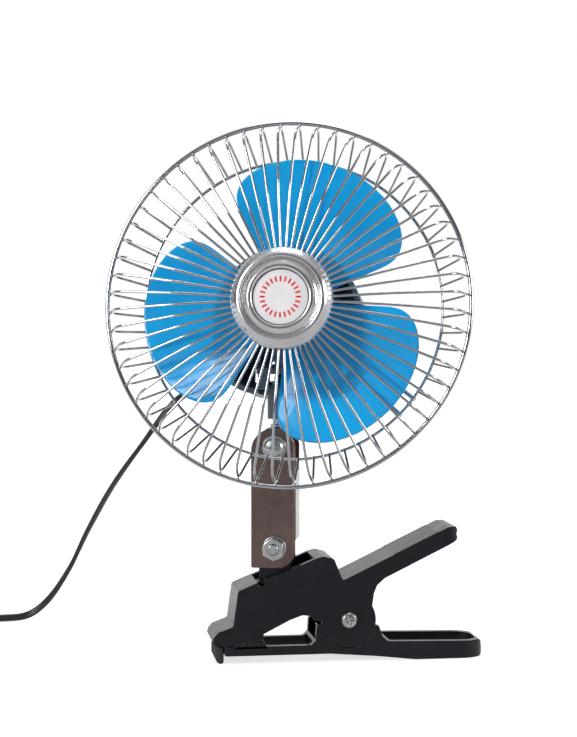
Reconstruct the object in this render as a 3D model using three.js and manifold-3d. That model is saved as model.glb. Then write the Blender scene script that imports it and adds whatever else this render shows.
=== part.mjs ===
// A small clip-on fan for a car: wire guard, three-blade rotor, oscillating motor head,
// a pressed bracket, and a sprung plastic clip. Millimetres, +Z up, the front faces -Y.

import * as THREE from "three";
import { mergeVertices } from "three/addons/utils/BufferGeometryUtils.js";
import Module from "manifold-3d";

const wasm = await Module();
wasm.setup();

// ---------------------------------------------------------------- driving dimensions

const gap = 0.3; // clearance between pieces that touch or turn on each other

// Clip: two levers on one axle, clamped shut by a torsion spring
const clipWidth = 30;
const cheekWall = 3; // side cheeks of the upper lever
const lugWall = 3; // lugs of the lower lever, inside the cheeks
const axleHeight = 20.6; // axle centre above the table
const axleRadius = 2.3;
const axleHeadRadius = 4;
const axleHeadHeight = 2.4;
const axleNutAcross = 8;
const lobeRadius = 13.6; // rounded end of each cheek
const lugRadius = 8;
const jawReach = 62; // axle to the front of the lower jaw
const gripReach = 70; // axle to the back of the lower grip
const gripCorner = 12; // corner radius of the lower grip seen from above
const railWall = 3.4; // rails of the lower lever
const lowerJawBottom = 4;
const lowerJawTop = 8.5;
const gripTop = 9;
const gripLip = 1.2; // the lower grip's end stands out below
const toothPitch = 3.2;
const toothDepth = 2;
const toothCount = 5;
const footAhead = 4; // the rubber foot ahead of the lower jaw
const footLength = 25;
const footHeight = 8;
const footPegLong = 4; // its peg in the end of the jaw
const footPegHalf = 0.8;
const footPegHeight = 5.9;
const upperNose = 68; // axle to the tip of the upper jaw
const gripRise = 26; // degrees, slope of the upper grip
const ribCount = 12;
const ribStart = 23; // from the axle
const ribPitch = 1.85;
const ribHeight = 0.5;
const springRadius = 6.2; // mean radius of the torsion spring
const springWire = 1.8;
const springTurns = 5;
const springSpace = 0.55; // between turns
const springFoot = 13.6; // axle to the leg on the lower lever
const springArm = 17; // axle to the leg under the grip
const wellFloor = 5.4; // the lower lever's floor between its lugs
const gripWall = 3.2; // roof of the upper grip

// Swivel block and its socket in the upper jaw
const postBehindAxle = 34; // post centre in front of the axle, towards the jaw
const socketFloor = 33;
const socketLeft = 11.6; // post centre to the socket's jaw-side wall
const socketRight = 17;
const turretRadius = 11;
const turretHeight = 6.2;
const postTurn = -15.4; // degrees the post faces away from straight ahead
const swivelScrewRadius = 2.3;
const swivelHeadRadius = 4.4;

// Bracket: a U of sheet steel, two cheeks and a web
const bracketSheet = 1.5;
const bracketDepth = 20;
const bracketLeft = 11.7; // bolt line to the open edge
const bracketRight = 10.5; // bolt line to the web's outer face
const bracketBelow = 10; // below the lower bolt
const bracketBend = 2.6;
const boltSpacing = 50;
const lowerBoltHeight = 56.5;
const webStart = 4; // above the lower bolt
const webEnd = 38;
const webNotch = 2.4; // cut from the rear cheek below the web
const boltRadius = 2.7;
const nutAcross = 10;
const nutHeight = 4.6;
const panHeadRadius = 4.8;
const panHeadHeight = 2.9;
const washerRadius = 6;
const washerSheet = 0.9;

// Neck: a lug between the bracket's cheeks and the pin that the head swings on
const lugWidth = 11;
const neckLugBelow = 6.4;
const neckLugAbove = 9.4;
const neckPinRadius = 2.3;
const neckPinRise = 32.3; // bolt to the top of the pin
const neckBossGap = 4.4; // bare pin between lug and boss
const neckBossRadius = 4.8;

// Oscillation drive: worm, wheel, crank, link and the arm on the neck pin
const driveSheet = 1.6;
const armReach = 9;
const wormRadius = 3;
const wheelRadius = 7;
const wheelShaft = 1.5;
const wheelTeeth = 18;
const wheelBehind = 39; // behind the neck pin
const crankThrow = 4.5;
const crankPin = 1.1;
const deckSheet = 3; // the carrier's deck under the motor
const deckLeft = 9.4;
const deckRight = 12; // beside the motor's axis
const deckFront = 10;
const deckBehind = 4; // behind the worm wheel
const carrierPost = 4; // side of each post between boss and deck
const postAside = 6.5;
const postAhead = 8.4;
const webBack = 2.4; // behind the web between the posts, ahead of the neck pin
const webSheet = 1.6;
const saddleHalf = 11;
const saddleBack = 26;
const saddleTop = 6; // below the motor's axis
const linkHalf = 2.6; // half the link's width

// Head: everything on the motor axis, measured forward from the neck pin
const hubAxisHeight = 171.9;
const motorAside = 11; // motor axis beside the neck pin
const noseUp = 7.5; // degrees
const motorRadius = 18;
const motorBack = 28.5;
const motorFront = 14;
const canWall = 1.2;
const shaftRadius = 1.6;
const shaftFront = 56;
const shaftBack = 47;
const bushRadius = 4;
const magnetThick = 3.6;
const magnetBack = 20;
const magnetFront = 6;
const coreBack = 17; // iron core of the motor's own rotor
const coreFront = 3;
const coreWaist = 4.5; // between its poles
const commutatorRadius = 3.6;
const commutatorBack = 26;
const coverHalf = 36.3; // half the housing's width
const coverAside = -4.7; // its middle beside the motor's axis
const coverDown = 2.7; // and below it
const coverCorner = 22; // its lower corners
const coverRound = 12; // its back edge
const coverLip = 0.9;
const coverBack = 54;
const coverFront = 6;
const coverWall = 1.8;
const slotCount = 7; // low in the back
const slotPitch = 7.6;
const slotWidth = 2.8;
const slotLow = 30; // their ends below the motor's axis
const slotHigh = 17;
const ventCount = 5; // along the top
const ventFront = 18;
const ventBack = 40;
const legFoot = 23; // leg screws from the axis
const mountSheet = 1.6;

// On the back of the cover: knob, switch and cord outlet, beside and above the motor's axis
const knobStem = 1.8;
const knobAside = -9;
const knobUp = 20;
const knobTravel = 4;
const switchWide = 9;
const switchTall = 13;
const switchAside = 12;
const switchUp = -8;
const rockerDepth = 0.6; // the rocker's pin behind the cover's back
const grommetRadius = 3.6;
const grommetAside = -15;
const grommetUp = -11;
const grommetLength = 9;

// Guard
const rimForward = 46; // rim plane ahead of the neck pin
const guardRadius = 87.9; // outside of the rim wire
const rimWire = 2.1;
const rearRingRadius = 72.8;
const rearRingBack = 22; // behind the rim plane
const ringWire = 1.5;
const hubRingRadius = 21.5;
const guardWire = 1.25;
const wireCount = 60;
const guardDome = 19; // front wires ahead of the rim plane
const hairpinIn = 5; // where the front wires turn down to the rim
const hairpinBack = 6;
const hairpinDrop = 1.5; // behind the rim plane, where the wires turn in again
const rimWeld = 0.6; // how far the wires sink into the rim
const kinkRadius = 50; // where the front wires turn back
const legCount = 3;
const legFirst = 80; // degrees
const legWire = 2.2;
const legSpread = 5;
const capRadius = 23.9;
const capHeight = 7.5;
const capWall = 1;
const badgeRadius = 12.9;

// Rotor
const bladeCount = 3;
const bladeTip = 70;
const bladeRoot = 14;
const bladeSpan = 94; // degrees between the sides of one blade
const bladeFirst = 70.4; // degrees, middle of the first blade
const bladeDepth = 20; // from leading to trailing side along the axis
const bladeMiddle = 43; // ahead of the neck pin
const bladeSheet = 1.8;
const rotorHubRadius = 17;
const rotorHubLength = 17;

// Cord and plug
const cordWidth = 4;
const coilTurns = 6;
const coilMeanRadius = 22;
const coilStep = 5.2; // from one turn to the next
const coilLayer = 5.2; // from one layer to the next
const coilStart = 90; // degrees, where the cord joins the coil
const tieSheet = 0.9;
const tieWidth = 5;
const plugTipRadius = 3.6;
const plugRadius = 10.5;
const plugLength = 52;

// Free stretches of the cord, on the table at half the cord's width
const cordFall = [
  [-45, 66, 141], [-62, 63, 136], [-80.9, 52, 125.9], [-98.8, 60, 101.8], [-112.8, 78, 79],
  [-125, 98, 53.5], [-135.7, 110, 29.6], [-147.8, 119, 11], [-158, 122, 3.4], [-173.2, 120, 2.3],
  [-190, 120, 2.5],
];
const coilPlace = [-222, 92];
const cordTail = [
  [-246, 119, 4.6], [-261, 113, 2.6], [-270, 101, 2.6], [-272, 88, 5.5], [-272, 76, 9.8],
];
const plugPlace = [-272, 62];

// ---------------------------------------------------------------- materials

const plain = (color, roughness, metalness = 0) =>
  new THREE.MeshStandardMaterial({ color, roughness, metalness });

const finish = {
  blackPlastic: plain(0x1c1b1f, 0.45),
  darkPlastic: plain(0x35363a, 0.5),
  whitePlastic: plain(0xe9e6dc, 0.45),
  blueBlade: new THREE.MeshStandardMaterial({
    color: 0x1088dd, roughness: 0.25, transparent: true, opacity: 0.85,
  }),
  chrome: plain(0xcfd1d4, 0.12, 1),
  zinc: plain(0xb9bdc0, 0.3, 1),
  bronze: plain(0x5a4846, 0.3, 0.9),
  steel: plain(0x8f9498, 0.35, 1),
  brass: plain(0xb38f4a, 0.35, 1),
  rubber: plain(0x151515, 0.85),
  pearl: plain(0xf2f0f0, 0.3),
};

// ---------------------------------------------------------------- solids and meshes

const rad = THREE.MathUtils.degToRad;
const fan = new THREE.Group();

function signedVolume(points, corners) {
  const [a, b, c] = [new THREE.Vector3(), new THREE.Vector3(), new THREE.Vector3()];
  let sum = 0;
  for (let i = 0; i < corners.length; i += 3) {
    a.fromArray(points, corners[i] * 3);
    b.fromArray(points, corners[i + 1] * 3);
    c.fromArray(points, corners[i + 2] * 3);
    sum += a.dot(b.cross(c));
  }
  return sum / 6;
}

// A closed geometry as a solid that can be joined and cut
function solid(geometry) {
  const bare = new THREE.BufferGeometry();
  bare.setAttribute("position", geometry.attributes.position);
  if (geometry.index) bare.setIndex(geometry.index);
  const merged = mergeVertices(bare, 1e-4);
  const points = new Float32Array(merged.attributes.position.array);
  const corners = [];
  const index = merged.index.array;
  for (let i = 0; i < index.length; i += 3) {
    const [a, b, c] = [index[i], index[i + 1], index[i + 2]];
    if (a !== b && b !== c && a !== c) corners.push(a, b, c);
  }
  if (signedVolume(points, corners) < 0) corners.reverse();
  const triVerts = new Uint32Array(corners);
  return new wasm.Manifold(new wasm.Mesh({ numProp: 3, vertProperties: points, triVerts }));
}

function geometryOf(body) {
  const mesh = body.getMesh();
  const geometry = new THREE.BufferGeometry();
  const points = new Float32Array(mesh.vertProperties);
  geometry.setAttribute("position", new THREE.BufferAttribute(points, 3));
  geometry.setIndex(Array.from(mesh.triVerts));
  geometry.computeVertexNormals();
  return geometry;
}

const join = (...bodies) => bodies.reduce((all, body) => all.add(body));
const cut = (body, ...tools) => tools.reduce((rest, tool) => rest.subtract(tool), body);

function place(parent, name, body, material) {
  const mesh = new THREE.Mesh(geometryOf(body), material);
  mesh.name = name;
  parent.add(mesh);
  return mesh;
}

function block(x0, x1, y0, y1, z0, z1) {
  const geometry = new THREE.BoxGeometry(x1 - x0, y1 - y0, z1 - z0);
  return solid(geometry.translate((x0 + x1) / 2, (y0 + y1) / 2, (z0 + z1) / 2));
}

// A rod between two stations on an axis: "x", "y" or "z"
function rod(axis, radius, from, to, { at = [0, 0, 0], sides = 16, spin = 0 } = {}) {
  const geometry = new THREE.CylinderGeometry(radius, radius, to - from, sides);
  geometry.rotateY(spin).translate(0, (from + to) / 2, 0);
  if (axis === "x") geometry.rotateZ(-Math.PI / 2);
  if (axis === "z") geometry.rotateX(Math.PI / 2);
  return solid(geometry.translate(...at));
}

const hexRod = (axis, across, from, to, at = [0, 0, 0], spin = 0) =>
  rod(axis, across / Math.sqrt(3), from, to, { at, sides: 6, spin });

// A closed profile of [radius, station] turned about the Z axis
function turned(profile, segments = 28) {
  const points = profile.map(([r, z]) => new THREE.Vector2(r, z));
  points.push(points[0].clone());
  return solid(new THREE.LatheGeometry(points, segments).rotateX(Math.PI / 2));
}

const outline = (points) => new THREE.Shape(points.map(([x, y]) => new THREE.Vector2(x, y)));

function arc(cx, cy, radius, from, to, steps) {
  return Array.from({ length: steps + 1 }, (_, i) => {
    const angle = rad(from + ((to - from) * i) / steps);
    return [cx + radius * Math.cos(angle), cy + radius * Math.sin(angle)];
  });
}

// A side view in X and Z, given its width across Y
function sideways(points, y0, y1) {
  const geometry = new THREE.ExtrudeGeometry(outline(points), {
    depth: y1 - y0, bevelEnabled: false,
  });
  return solid(geometry.rotateX(Math.PI / 2).translate(0, y1, 0));
}

// A plan view in X and Y, given its height in Z
function upright(points, z0, z1) {
  const geometry = new THREE.ExtrudeGeometry(outline(points), {
    depth: z1 - z0, bevelEnabled: false,
  });
  return solid(geometry.translate(0, 0, z0));
}

function roundedRect(x0, x1, y0, y1, radii, steps = 4) {
  const [r0, r1, r2, r3] = radii; // from the low corner, anticlockwise
  return [
    ...arc(x0 + r0, y0 + r0, r0, 180, 270, steps),
    ...arc(x1 - r1, y0 + r1, r1, 270, 360, steps),
    ...arc(x1 - r2, y1 - r2, r2, 0, 90, steps),
    ...arc(x0 + r3, y1 - r3, r3, 90, 180, steps),
  ];
}

// A route that a wire follows corner by corner, with mitred bends
class Route extends THREE.Curve {
  constructor(points) {
    super();
    this.points = points;
  }
  getPoint(t, target = new THREE.Vector3()) {
    const last = this.points.length - 1;
    const from = Math.min(Math.floor(t * last + 1e-6), last - 1);
    return target.lerpVectors(this.points[from], this.points[from + 1], t * last - from);
  }
  getPointAt(t, target) {
    return this.getPoint(t, target);
  }
  getTangent(t, target = new THREE.Vector3()) {
    const last = this.points.length - 1;
    const i = Math.round(t * last);
    const here = this.points[i];
    target.set(0, 0, 0);
    if (i > 0) target.add(here.clone().sub(this.points[i - 1]).normalize());
    if (i < last) target.add(this.points[i + 1].clone().sub(here).normalize());
    return target.normalize();
  }
  getTangentAt(t, target) {
    return this.getTangent(t, target);
  }
}

function wire(points, thickness, sides) {
  const first = 180 / sides;
  const section = outline(arc(0, 0, thickness / 2, first, first + 360, sides).slice(0, -1));
  return solid(new THREE.ExtrudeGeometry(section, {
    extrudePath: new Route(points), steps: points.length - 1, bevelEnabled: false,
  }));
}

// ---------------------------------------------------------------- clip: lower lever

const halfWidth = clipWidth / 2;
const cheekInner = halfWidth - cheekWall;
const lugOuter = cheekInner - gap;
const lugInner = lugOuter - lugWall;
const railInner = halfWidth - railWall;
const boreRadius = axleRadius + gap;

function lowerLever() {
  const side = [
    [-jawReach, lowerJawBottom], [-9, lowerJawBottom], [14, 2.2], [34, 0], [gripReach - 1.8, 0],
    [gripReach, 2], [gripReach, 5], [gripReach - gripLip, 5.4], [gripReach - gripLip, gripTop - 1.6],
    [gripReach - 2.6, gripTop - 0.4], [20, gripTop + 0.5], [17, gripTop + 3], [15.2, axleHeight - 3],
    [-14.9, axleHeight - 2], [-16.2, axleHeight - 3], [-16.6, lowerJawTop + 2.2],
    [-19, lowerJawTop], [-42, lowerJawTop], [-jawReach + 1.2, lowerJawTop],
    [-jawReach, lowerJawTop - 0.8],
  ];
  const plan = roundedRect(-jawReach - 1, gripReach, -halfWidth, halfWidth, [3, gripCorner, gripCorner, 3]);
  const shell = sideways(side, -halfWidth, halfWidth).intersect(upright(plan, -1, 40));
  const slotEnd = gripReach - railWall;
  const gripSlot = upright(roundedRect(21, slotEnd, -railInner, railInner, [2, 9, 9, 2]), -5, 40);
  const jawSlot = upright(roundedRect(-41, -17.5, -railInner, railInner, [2, 2, 2, 2], 2), -5, 40);
  const well = sideways(
    [[-13, wellFloor], [16, wellFloor], [16, 40], [-13, 40]], -lugInner, lugInner,
  );
  const between = (from, to) =>
    rod("y", lobeRadius + gap, from, to, { at: [0, 0, axleHeight], sides: 30 });
  const overLugs = cut(
    sideways([[-20, 11], [20, 11], [20, 60], [-20, 60]], -lugOuter, lugOuter),
    rod("y", lugRadius, -lugOuter, lugOuter, { at: [0, 0, axleHeight], sides: 20 }),
    block(-lugRadius, lugRadius, -lugOuter, lugOuter, 0, axleHeight),
  );
  const bore = rod("y", boreRadius, -halfWidth - 1, halfWidth + 1, { at: [0, 0, axleHeight] });
  const footPeg = block(
    -jawReach - 1, -jawReach + footPegLong + gap, -6, 6,
    footPegHeight - footPegHalf - gap, footPegHeight + footPegHalf + gap,
  );
  return join(
    cut(
      shell, gripSlot, jawSlot, well, overLugs, bore, footPeg,
      between(-halfWidth - 1, -cheekInner + gap), between(cheekInner - gap, halfWidth + 1),
    ),
    lowerTeeth(),
  );
}

const toothStart = -jawReach + 5;

function lowerTeeth() {
  const row = [[toothStart, lowerJawTop - 1]];
  for (let i = 0; i < toothCount; i++) {
    const x = toothStart + i * toothPitch;
    row.push([x, lowerJawTop], [x + toothPitch / 2, lowerJawTop + toothDepth]);
  }
  const end = toothStart + toothCount * toothPitch;
  row.push([end, lowerJawTop], [end, lowerJawTop - 1]);
  return sideways(row, -halfWidth, halfWidth);
}

// A rubber foot over the end of the lower jaw, with a peg into it
function jawFoot() {
  const back = -jawReach - gap;
  const front = back - footAhead;
  const half = footLength / 2;
  const side = [
    [front, footHeight - 1], [front, 2.2], [front + 0.8, 0.5], [front + 1.8, 0], [back - 0.8, 0],
    [back, 0.8], [back, footHeight], [front + 1, footHeight],
  ];
  const plan = roundedRect(front, back, -half, half, [3.2, 0.5, 0.5, 3.2], 3);
  const peg = block(
    back - 1, -jawReach + footPegLong, -5.7, 5.7, footPegHeight - footPegHalf, footPegHeight + footPegHalf,
  );
  return join(sideways(side, -half, half).intersect(upright(plan, -1, footHeight + 1)), peg);
}

// ---------------------------------------------------------------- clip: upper lever

const gripSlope = Math.tan(rad(gripRise));
const gripUnder = (x) => 32.3 + gripSlope * x; // underside of the upper grip
const gripOver = (x) => 41.8 + gripSlope * 0.985 * x;
const gripEnd = 54;

function upperSide() {
  const noseEdge = upperNose - 12.6;
  return [
    [-upperNose + 1.4, lowerJawTop + 0.8], [-upperNose, 11.2], [-upperNose + 0.4, 13.2],
    [-upperNose + 2.6, 15.8], [-noseEdge - 2.4, 18.6], [-noseEdge, 36.2], [-45.6, 40.2],
    [-24.6, 48.3], [-16.6, 51.6], [-12.5, 52.6], [-7.4, 51.2], [-3, gripOver(-3)],
    ...gripRibs(),
    [gripEnd - 8, gripOver(gripEnd - 8)], [gripEnd - 0.6, gripOver(gripEnd - 0.6)],
    [gripEnd + 1.5, gripOver(gripEnd) - 1.8], [gripEnd + 1.8, gripUnder(gripEnd) + 5],
    [gripEnd + 1, gripUnder(gripEnd) + 3.6], [gripEnd + 2, gripUnder(gripEnd) + 2.2],
    [gripEnd + 1.6, gripUnder(gripEnd) + 0.9], [gripEnd - 0.4, gripUnder(gripEnd - 0.4)],
    [18, gripUnder(18)], [14.2, 37.6], [12.6, 33.5],
    ...arc(0, axleHeight, lobeRadius, 30, -178, 13),
    [-17.6, axleHeight + 0.4], [-19.6, axleHeight + 2.6], [-23.5, axleHeight + 2.9],
    [-29.6, axleHeight + 0.7], [-42.6, lowerJawTop + 6.2], [-43.4, lowerJawTop + 3.6],
    ...upperTeeth(),
  ];
}

// The upper teeth lie over the lower ones with a clearance
function upperTeeth() {
  const row = [];
  for (let i = toothCount; i > 0; i--) {
    const x = toothStart + i * toothPitch;
    row.push([x, lowerJawTop + gap * 1.5], [x - toothPitch / 2, lowerJawTop + toothDepth + gap * 1.5]);
  }
  row.push([toothStart - 0.4, lowerJawTop + gap * 1.5]);
  return row;
}

// Fine ribs across the top of the grip
function gripRibs() {
  return Array.from({ length: ribCount * 2 + 1 }, (_, i) => {
    const x = ribStart + (i * ribPitch) / 2;
    return [x, gripOver(x) + (i % 2 ? ribHeight : 0)];
  });
}

function upperLever() {
  const body = sideways(upperSide(), -halfWidth, halfWidth);
  const plan = roundedRect(-upperNose - 1, gripEnd + 2.4, -halfWidth, halfWidth, [3, 6, 6, 3], 3);
  const socket = block(
    -postBehindAxle - socketLeft, -postBehindAxle + socketRight, -cheekInner + gap, cheekInner - gap,
    socketFloor, 80,
  );
  const notch = block(
    -postBehindAxle - socketLeft, -postBehindAxle - socketLeft + 3.4, -halfWidth - 1, 0, 38.5, 80,
  );
  const hollow = rod("y", lobeRadius + 1.6, -cheekInner, cheekInner, {
    at: [0, 0, axleHeight], sides: 22,
  });
  const channel = sideways(
    [[-4, 30], [12, 30], [18, gripUnder(18) - 1], [gripEnd - 4, gripUnder(gripEnd - 4) - 1],
      [gripEnd - 4, gripOver(gripEnd - 4) - gripWall], [4, gripOver(4) - gripWall], [-4, 36]],
    -railInner, railInner,
  );
  const bore = rod("y", boreRadius, -halfWidth - 1, halfWidth + 1, { at: [0, 0, axleHeight] });
  const post = [-postBehindAxle, 0, 0];
  const screwWay = rod("z", swivelScrewRadius + gap, 10, socketFloor + 1, { at: post });
  const headWay = rod("z", swivelHeadRadius + gap, 5, socketFloor - 5, { at: post });
  return cut(
    body.intersect(upright(plan, -1, 80)),
    socket, notch, hollow, channel, bore, screwWay, headWay,
  );
}

// ---------------------------------------------------------------- clip: axle and spring

function axleScrew() {
  const head = turned([
    [0, 0], [axleHeadRadius, 0], [axleHeadRadius, axleHeadHeight * 0.55],
    [axleHeadRadius * 0.72, axleHeadHeight], [0, axleHeadHeight],
  ], 18);
  const cross = join(
    block(-2.2, 2.2, -0.4, 0.4, axleHeadHeight - 1.1, 5),
    block(-0.4, 0.4, -2.2, 2.2, axleHeadHeight - 1.1, 5),
  );
  const shank = rod("z", axleRadius, -clipWidth - gap - 5, 0.1);
  return join(cut(head, cross), shank).rotate([90, 0, 0]).translate([0, -halfWidth - gap, axleHeight]);
}

function axleNut() {
  const nut = hexRod("y", axleNutAcross, halfWidth + gap, halfWidth + gap + 3.4, [0, 0, axleHeight]);
  return cut(nut, rod("y", axleRadius + 0.25, 0, 40, { at: [0, 0, axleHeight] }));
}

// One wire: a leg on the lower lever, the turns, and a leg under the upper grip
function clipSpring() {
  const pitch = springWire + springSpace;
  const stepsPerTurn = 8;
  const startAngle = -70;
  const turns = springTurns + 0.5;
  const halfCoil = (turns * pitch) / 2;
  const points = [new THREE.Vector3(springFoot, -halfCoil, wellFloor + gap + springWire / 2)];
  const count = Math.round(turns * stepsPerTurn);
  for (let i = 0; i <= count; i++) {
    const angle = rad(startAngle - (i * 360) / stepsPerTurn);
    const y = -halfCoil + (i / stepsPerTurn) * pitch;
    points.push(new THREE.Vector3(
      springRadius * Math.cos(angle), y, axleHeight + springRadius * Math.sin(angle),
    ));
  }
  const roof = gripOver(springArm) - gripWall - gap - springWire * 0.75;
  points.push(new THREE.Vector3(springArm, halfCoil, roof));
  return wire(points, springWire, 5);
}

// ---------------------------------------------------------------- swivel block

const lugHalf = bracketDepth / 2 - bracketSheet - gap; // half the space between the cheeks
const blockTop = lowerBoltHeight - socketFloor;

// Local origin on the socket's floor, under the lower bolt
function swivelBlock() {
  const turret = rod("z", turretRadius, gap, turretHeight, { sides: 24 });
  const side = [
    [-8, turretHeight - 1], [8, turretHeight - 1], [8, blockTop - 9],
    ...arc(0, blockTop, 7.6, -20, 180, 10), [-8, blockTop - 6],
  ];
  const bolt = rod("y", boltRadius + gap, -15, 15, { at: [0, 0, blockTop] });
  const screw = rod("z", swivelScrewRadius + gap, -1, 9);
  return cut(join(turret, sideways(side, -lugHalf, lugHalf)), bolt, screw);
}

function swivelScrew() {
  const head = socketFloor - 5 - gap - 3;
  const shank = rod("z", swivelScrewRadius, head - socketFloor, 8.6);
  const pan = rod("z", swivelHeadRadius, head - socketFloor, head - socketFloor + 3, { sides: 24 });
  const slot = block(-6, 6, -0.5, 0.5, head - socketFloor - 1, head - socketFloor + 1);
  return cut(join(pan, shank), slot);
}

// ---------------------------------------------------------------- bracket and bolts

const bracketHigh = boltSpacing + (bracketLeft + bracketRight) / 2 - 1.6;

// Local origin on the lower bolt
function bracket() {
  const middle = (bracketRight - bracketLeft) / 2;
  const half = (bracketLeft + bracketRight) / 2;
  const face = [
    [-bracketLeft, -bracketBelow], [bracketRight - 9.5, -bracketBelow],
    ...arc(bracketRight - 9.5, -bracketBelow + 9.5, 9.5, -75, 0, 5),
    ...arc(middle, bracketHigh - half, half, 0, 180, 10),
  ];
  const deep = bracketDepth / 2;
  const outer = [
    ...arc(bracketRight - bracketBend, -deep + bracketBend, bracketBend, -90, 0, 3),
    ...arc(bracketRight - bracketBend, deep - bracketBend, bracketBend, 0, 90, 3),
    [-bracketLeft - 1, deep], [-bracketLeft - 1, -deep],
  ];
  const bend = bracketBend - bracketSheet;
  const inner = [
    ...arc(bracketRight - bracketBend, -deep + bracketBend, bend, -90, 0, 2),
    ...arc(bracketRight - bracketBend, deep - bracketBend, bend, 0, 90, 2),
    [-bracketLeft - 2, deep - bracketSheet], [-bracketLeft - 2, -deep + bracketSheet],
  ];
  const channel = cut(upright(outer, -20, 80), upright(inner, -21, 81));
  const clear = deep - bracketSheet;
  return cut(
    channel.intersect(sideways(face, -deep - 1, deep + 1)),
    block(0, 20, -clear, clear, -30, webStart), block(0, 20, -clear, clear, webEnd, 90),
    block(bracketRight - webNotch, 20, -clear, 20, -30, webStart),
    rod("y", boltRadius + gap, -20, 20), rod("y", boltRadius + gap, -20, 20, { at: [0, 0, boltSpacing] }),
  );
}

const faceY = bracketDepth / 2 + gap; // where heads, washers and nuts seat

function boltWithNutInFront() {
  const shank = rod("y", boltRadius, -faceY - washerSheet - gap - nutHeight - 1.4, faceY + 0.1);
  const head = hexRod("y", nutAcross, faceY, faceY + 3.6);
  return join(shank, head);
}

function frontNut(z) {
  const from = -faceY - washerSheet - gap - nutHeight;
  const nut = hexRod("y", nutAcross, from, from + nutHeight, [0, 0, z], Math.PI / 6);
  return cut(nut, rod("y", boltRadius + 0.25, -40, 40, { at: [0, 0, z] }));
}

function washer(from, z) {
  const disc = rod("y", washerRadius, from, from + washerSheet, { at: [0, 0, z], sides: 18 });
  return cut(disc, rod("y", boltRadius + gap, -40, 40, { at: [0, 0, z] }));
}

function panBolt() {
  const front = -faceY - washerSheet - gap;
  const head = turned([
    [0, 0], [panHeadRadius, 0], [panHeadRadius, panHeadHeight * 0.5],
    [panHeadRadius * 0.7, panHeadHeight], [0, panHeadHeight],
  ], 18);
  const cross = join(
    block(-2.6, 2.6, -0.5, 0.5, panHeadHeight - 1.3, 6),
    block(-0.5, 0.5, -2.6, 2.6, panHeadHeight - 1.3, 6),
  );
  const shank = rod("z", boltRadius, front - faceY - nutHeight - gap - 1.2, 0.1);
  return join(cut(head, cross), shank).rotate([90, 0, 0]).translate([0, front, boltSpacing]);
}

function rearNut(z) {
  const nut = hexRod("y", nutAcross, faceY, faceY + nutHeight, [0, 0, z]);
  return cut(nut, rod("y", boltRadius + 0.25, -40, 40, { at: [0, 0, z] }));
}

// ---------------------------------------------------------------- neck

// Local origin on the upper bolt
function neckLug() {
  const half = lugWidth / 2;
  const side = [
    ...arc(0, -neckLugBelow + half, half, 180, 360, 8), [half, neckLugAbove - 1.2],
    [half - 1.2, neckLugAbove], [-half + 1.2, neckLugAbove], [-half, neckLugAbove - 1.2],
  ];
  const bolt = rod("y", boltRadius + gap, -15, 15);
  const pinHole = rod("z", neckPinRadius + gap, 4, 20);
  return cut(sideways(side, -lugHalf, lugHalf), bolt, pinHole);
}

function neckPin() {
  const collar = rod("z", neckPinRadius + 1.3, neckLugAbove + gap, neckLugAbove + 1.6);
  return join(rod("z", neckPinRadius, 4.4, neckPinRise), collar);
}

// ---------------------------------------------------------------- oscillation drive

const headAboveBolt = hubAxisHeight - lowerBoltHeight - boltSpacing;
const pinTop = neckPinRise - headAboveBolt;
const bossBottom = neckLugAbove + neckBossGap - headAboveBolt;
const armBottom = pinTop - driveSheet;
const bossTop = armBottom - gap;
const linkBottom = armBottom + driveSheet + gap;
const crankBottom = linkBottom + driveSheet + gap;
const deckBottom = crankBottom + driveSheet + gap;
const deckTop = deckBottom + deckSheet;
const wormHeight = -wheelBehind * Math.sin(rad(noseUp)); // the worm is on the motor's axis
const wheelAside = motorAside - wormRadius - wheelRadius - gap; // beside the neck pin

// A small arm fixed on the top of the pin, pointing back
function neckArm() {
  const top = armBottom + driveSheet;
  const strip = upright([[-3.4, 0], [3.4, 0], [2.6, armReach + 3], [-2.6, armReach + 3]], armBottom, top);
  const eye = rod("z", 4.4, armBottom, top, { sides: 20 });
  const pinHole = rod("z", neckPinRadius + gap, armBottom - 5, top + 5);
  return cut(join(strip, eye), pinHole);
}

// From the arm to the crank
function swingLink() {
  const reach = Math.hypot(wheelAside, wheelBehind - crankThrow - armReach);
  const turn = THREE.MathUtils.radToDeg(Math.atan2(-wheelAside, wheelBehind - crankThrow - armReach));
  const top = linkBottom + driveSheet;
  const bar = upright([
    ...arc(0, 0, linkHalf, 180, 360, 6), ...arc(0, reach, linkHalf, 0, 180, 6),
  ], linkBottom, top);
  const eyes = [0, reach].map((y) =>
    rod("z", crankPin + gap, linkBottom - 1, top + 1, { at: [0, y, 0], sides: 12 }));
  return cut(bar, ...eyes).rotate([0, 0, turn]).translate([0, armReach, 0]);
}

// The worm wheel, its shaft through the deck, and below it the crank and the pin for the link
function wormWheel() {
  const rim = Array.from({ length: wheelTeeth * 2 }, (_, i) => {
    const radius = i % 2 ? wheelRadius : wheelRadius - 1;
    const angle = (i * Math.PI) / wheelTeeth;
    return [radius * Math.cos(angle), radius * Math.sin(angle)];
  });
  const wheel = upright(rim, wormHeight - 2.5, wormHeight + 2.5);
  const shaft = rod("z", wheelShaft, crankBottom + 0.5, wormHeight + 4);
  const crank = rod("z", crankThrow + crankPin + 0.9, crankBottom, crankBottom + driveSheet, { sides: 20 });
  const pin = rod("z", crankPin, linkBottom - gap, crankBottom + 0.5, { at: [0, -crankThrow, 0], sides: 12 });
  return join(wheel, shaft, crank, pin).translate([wheelAside, wheelBehind, 0]);
}

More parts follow.
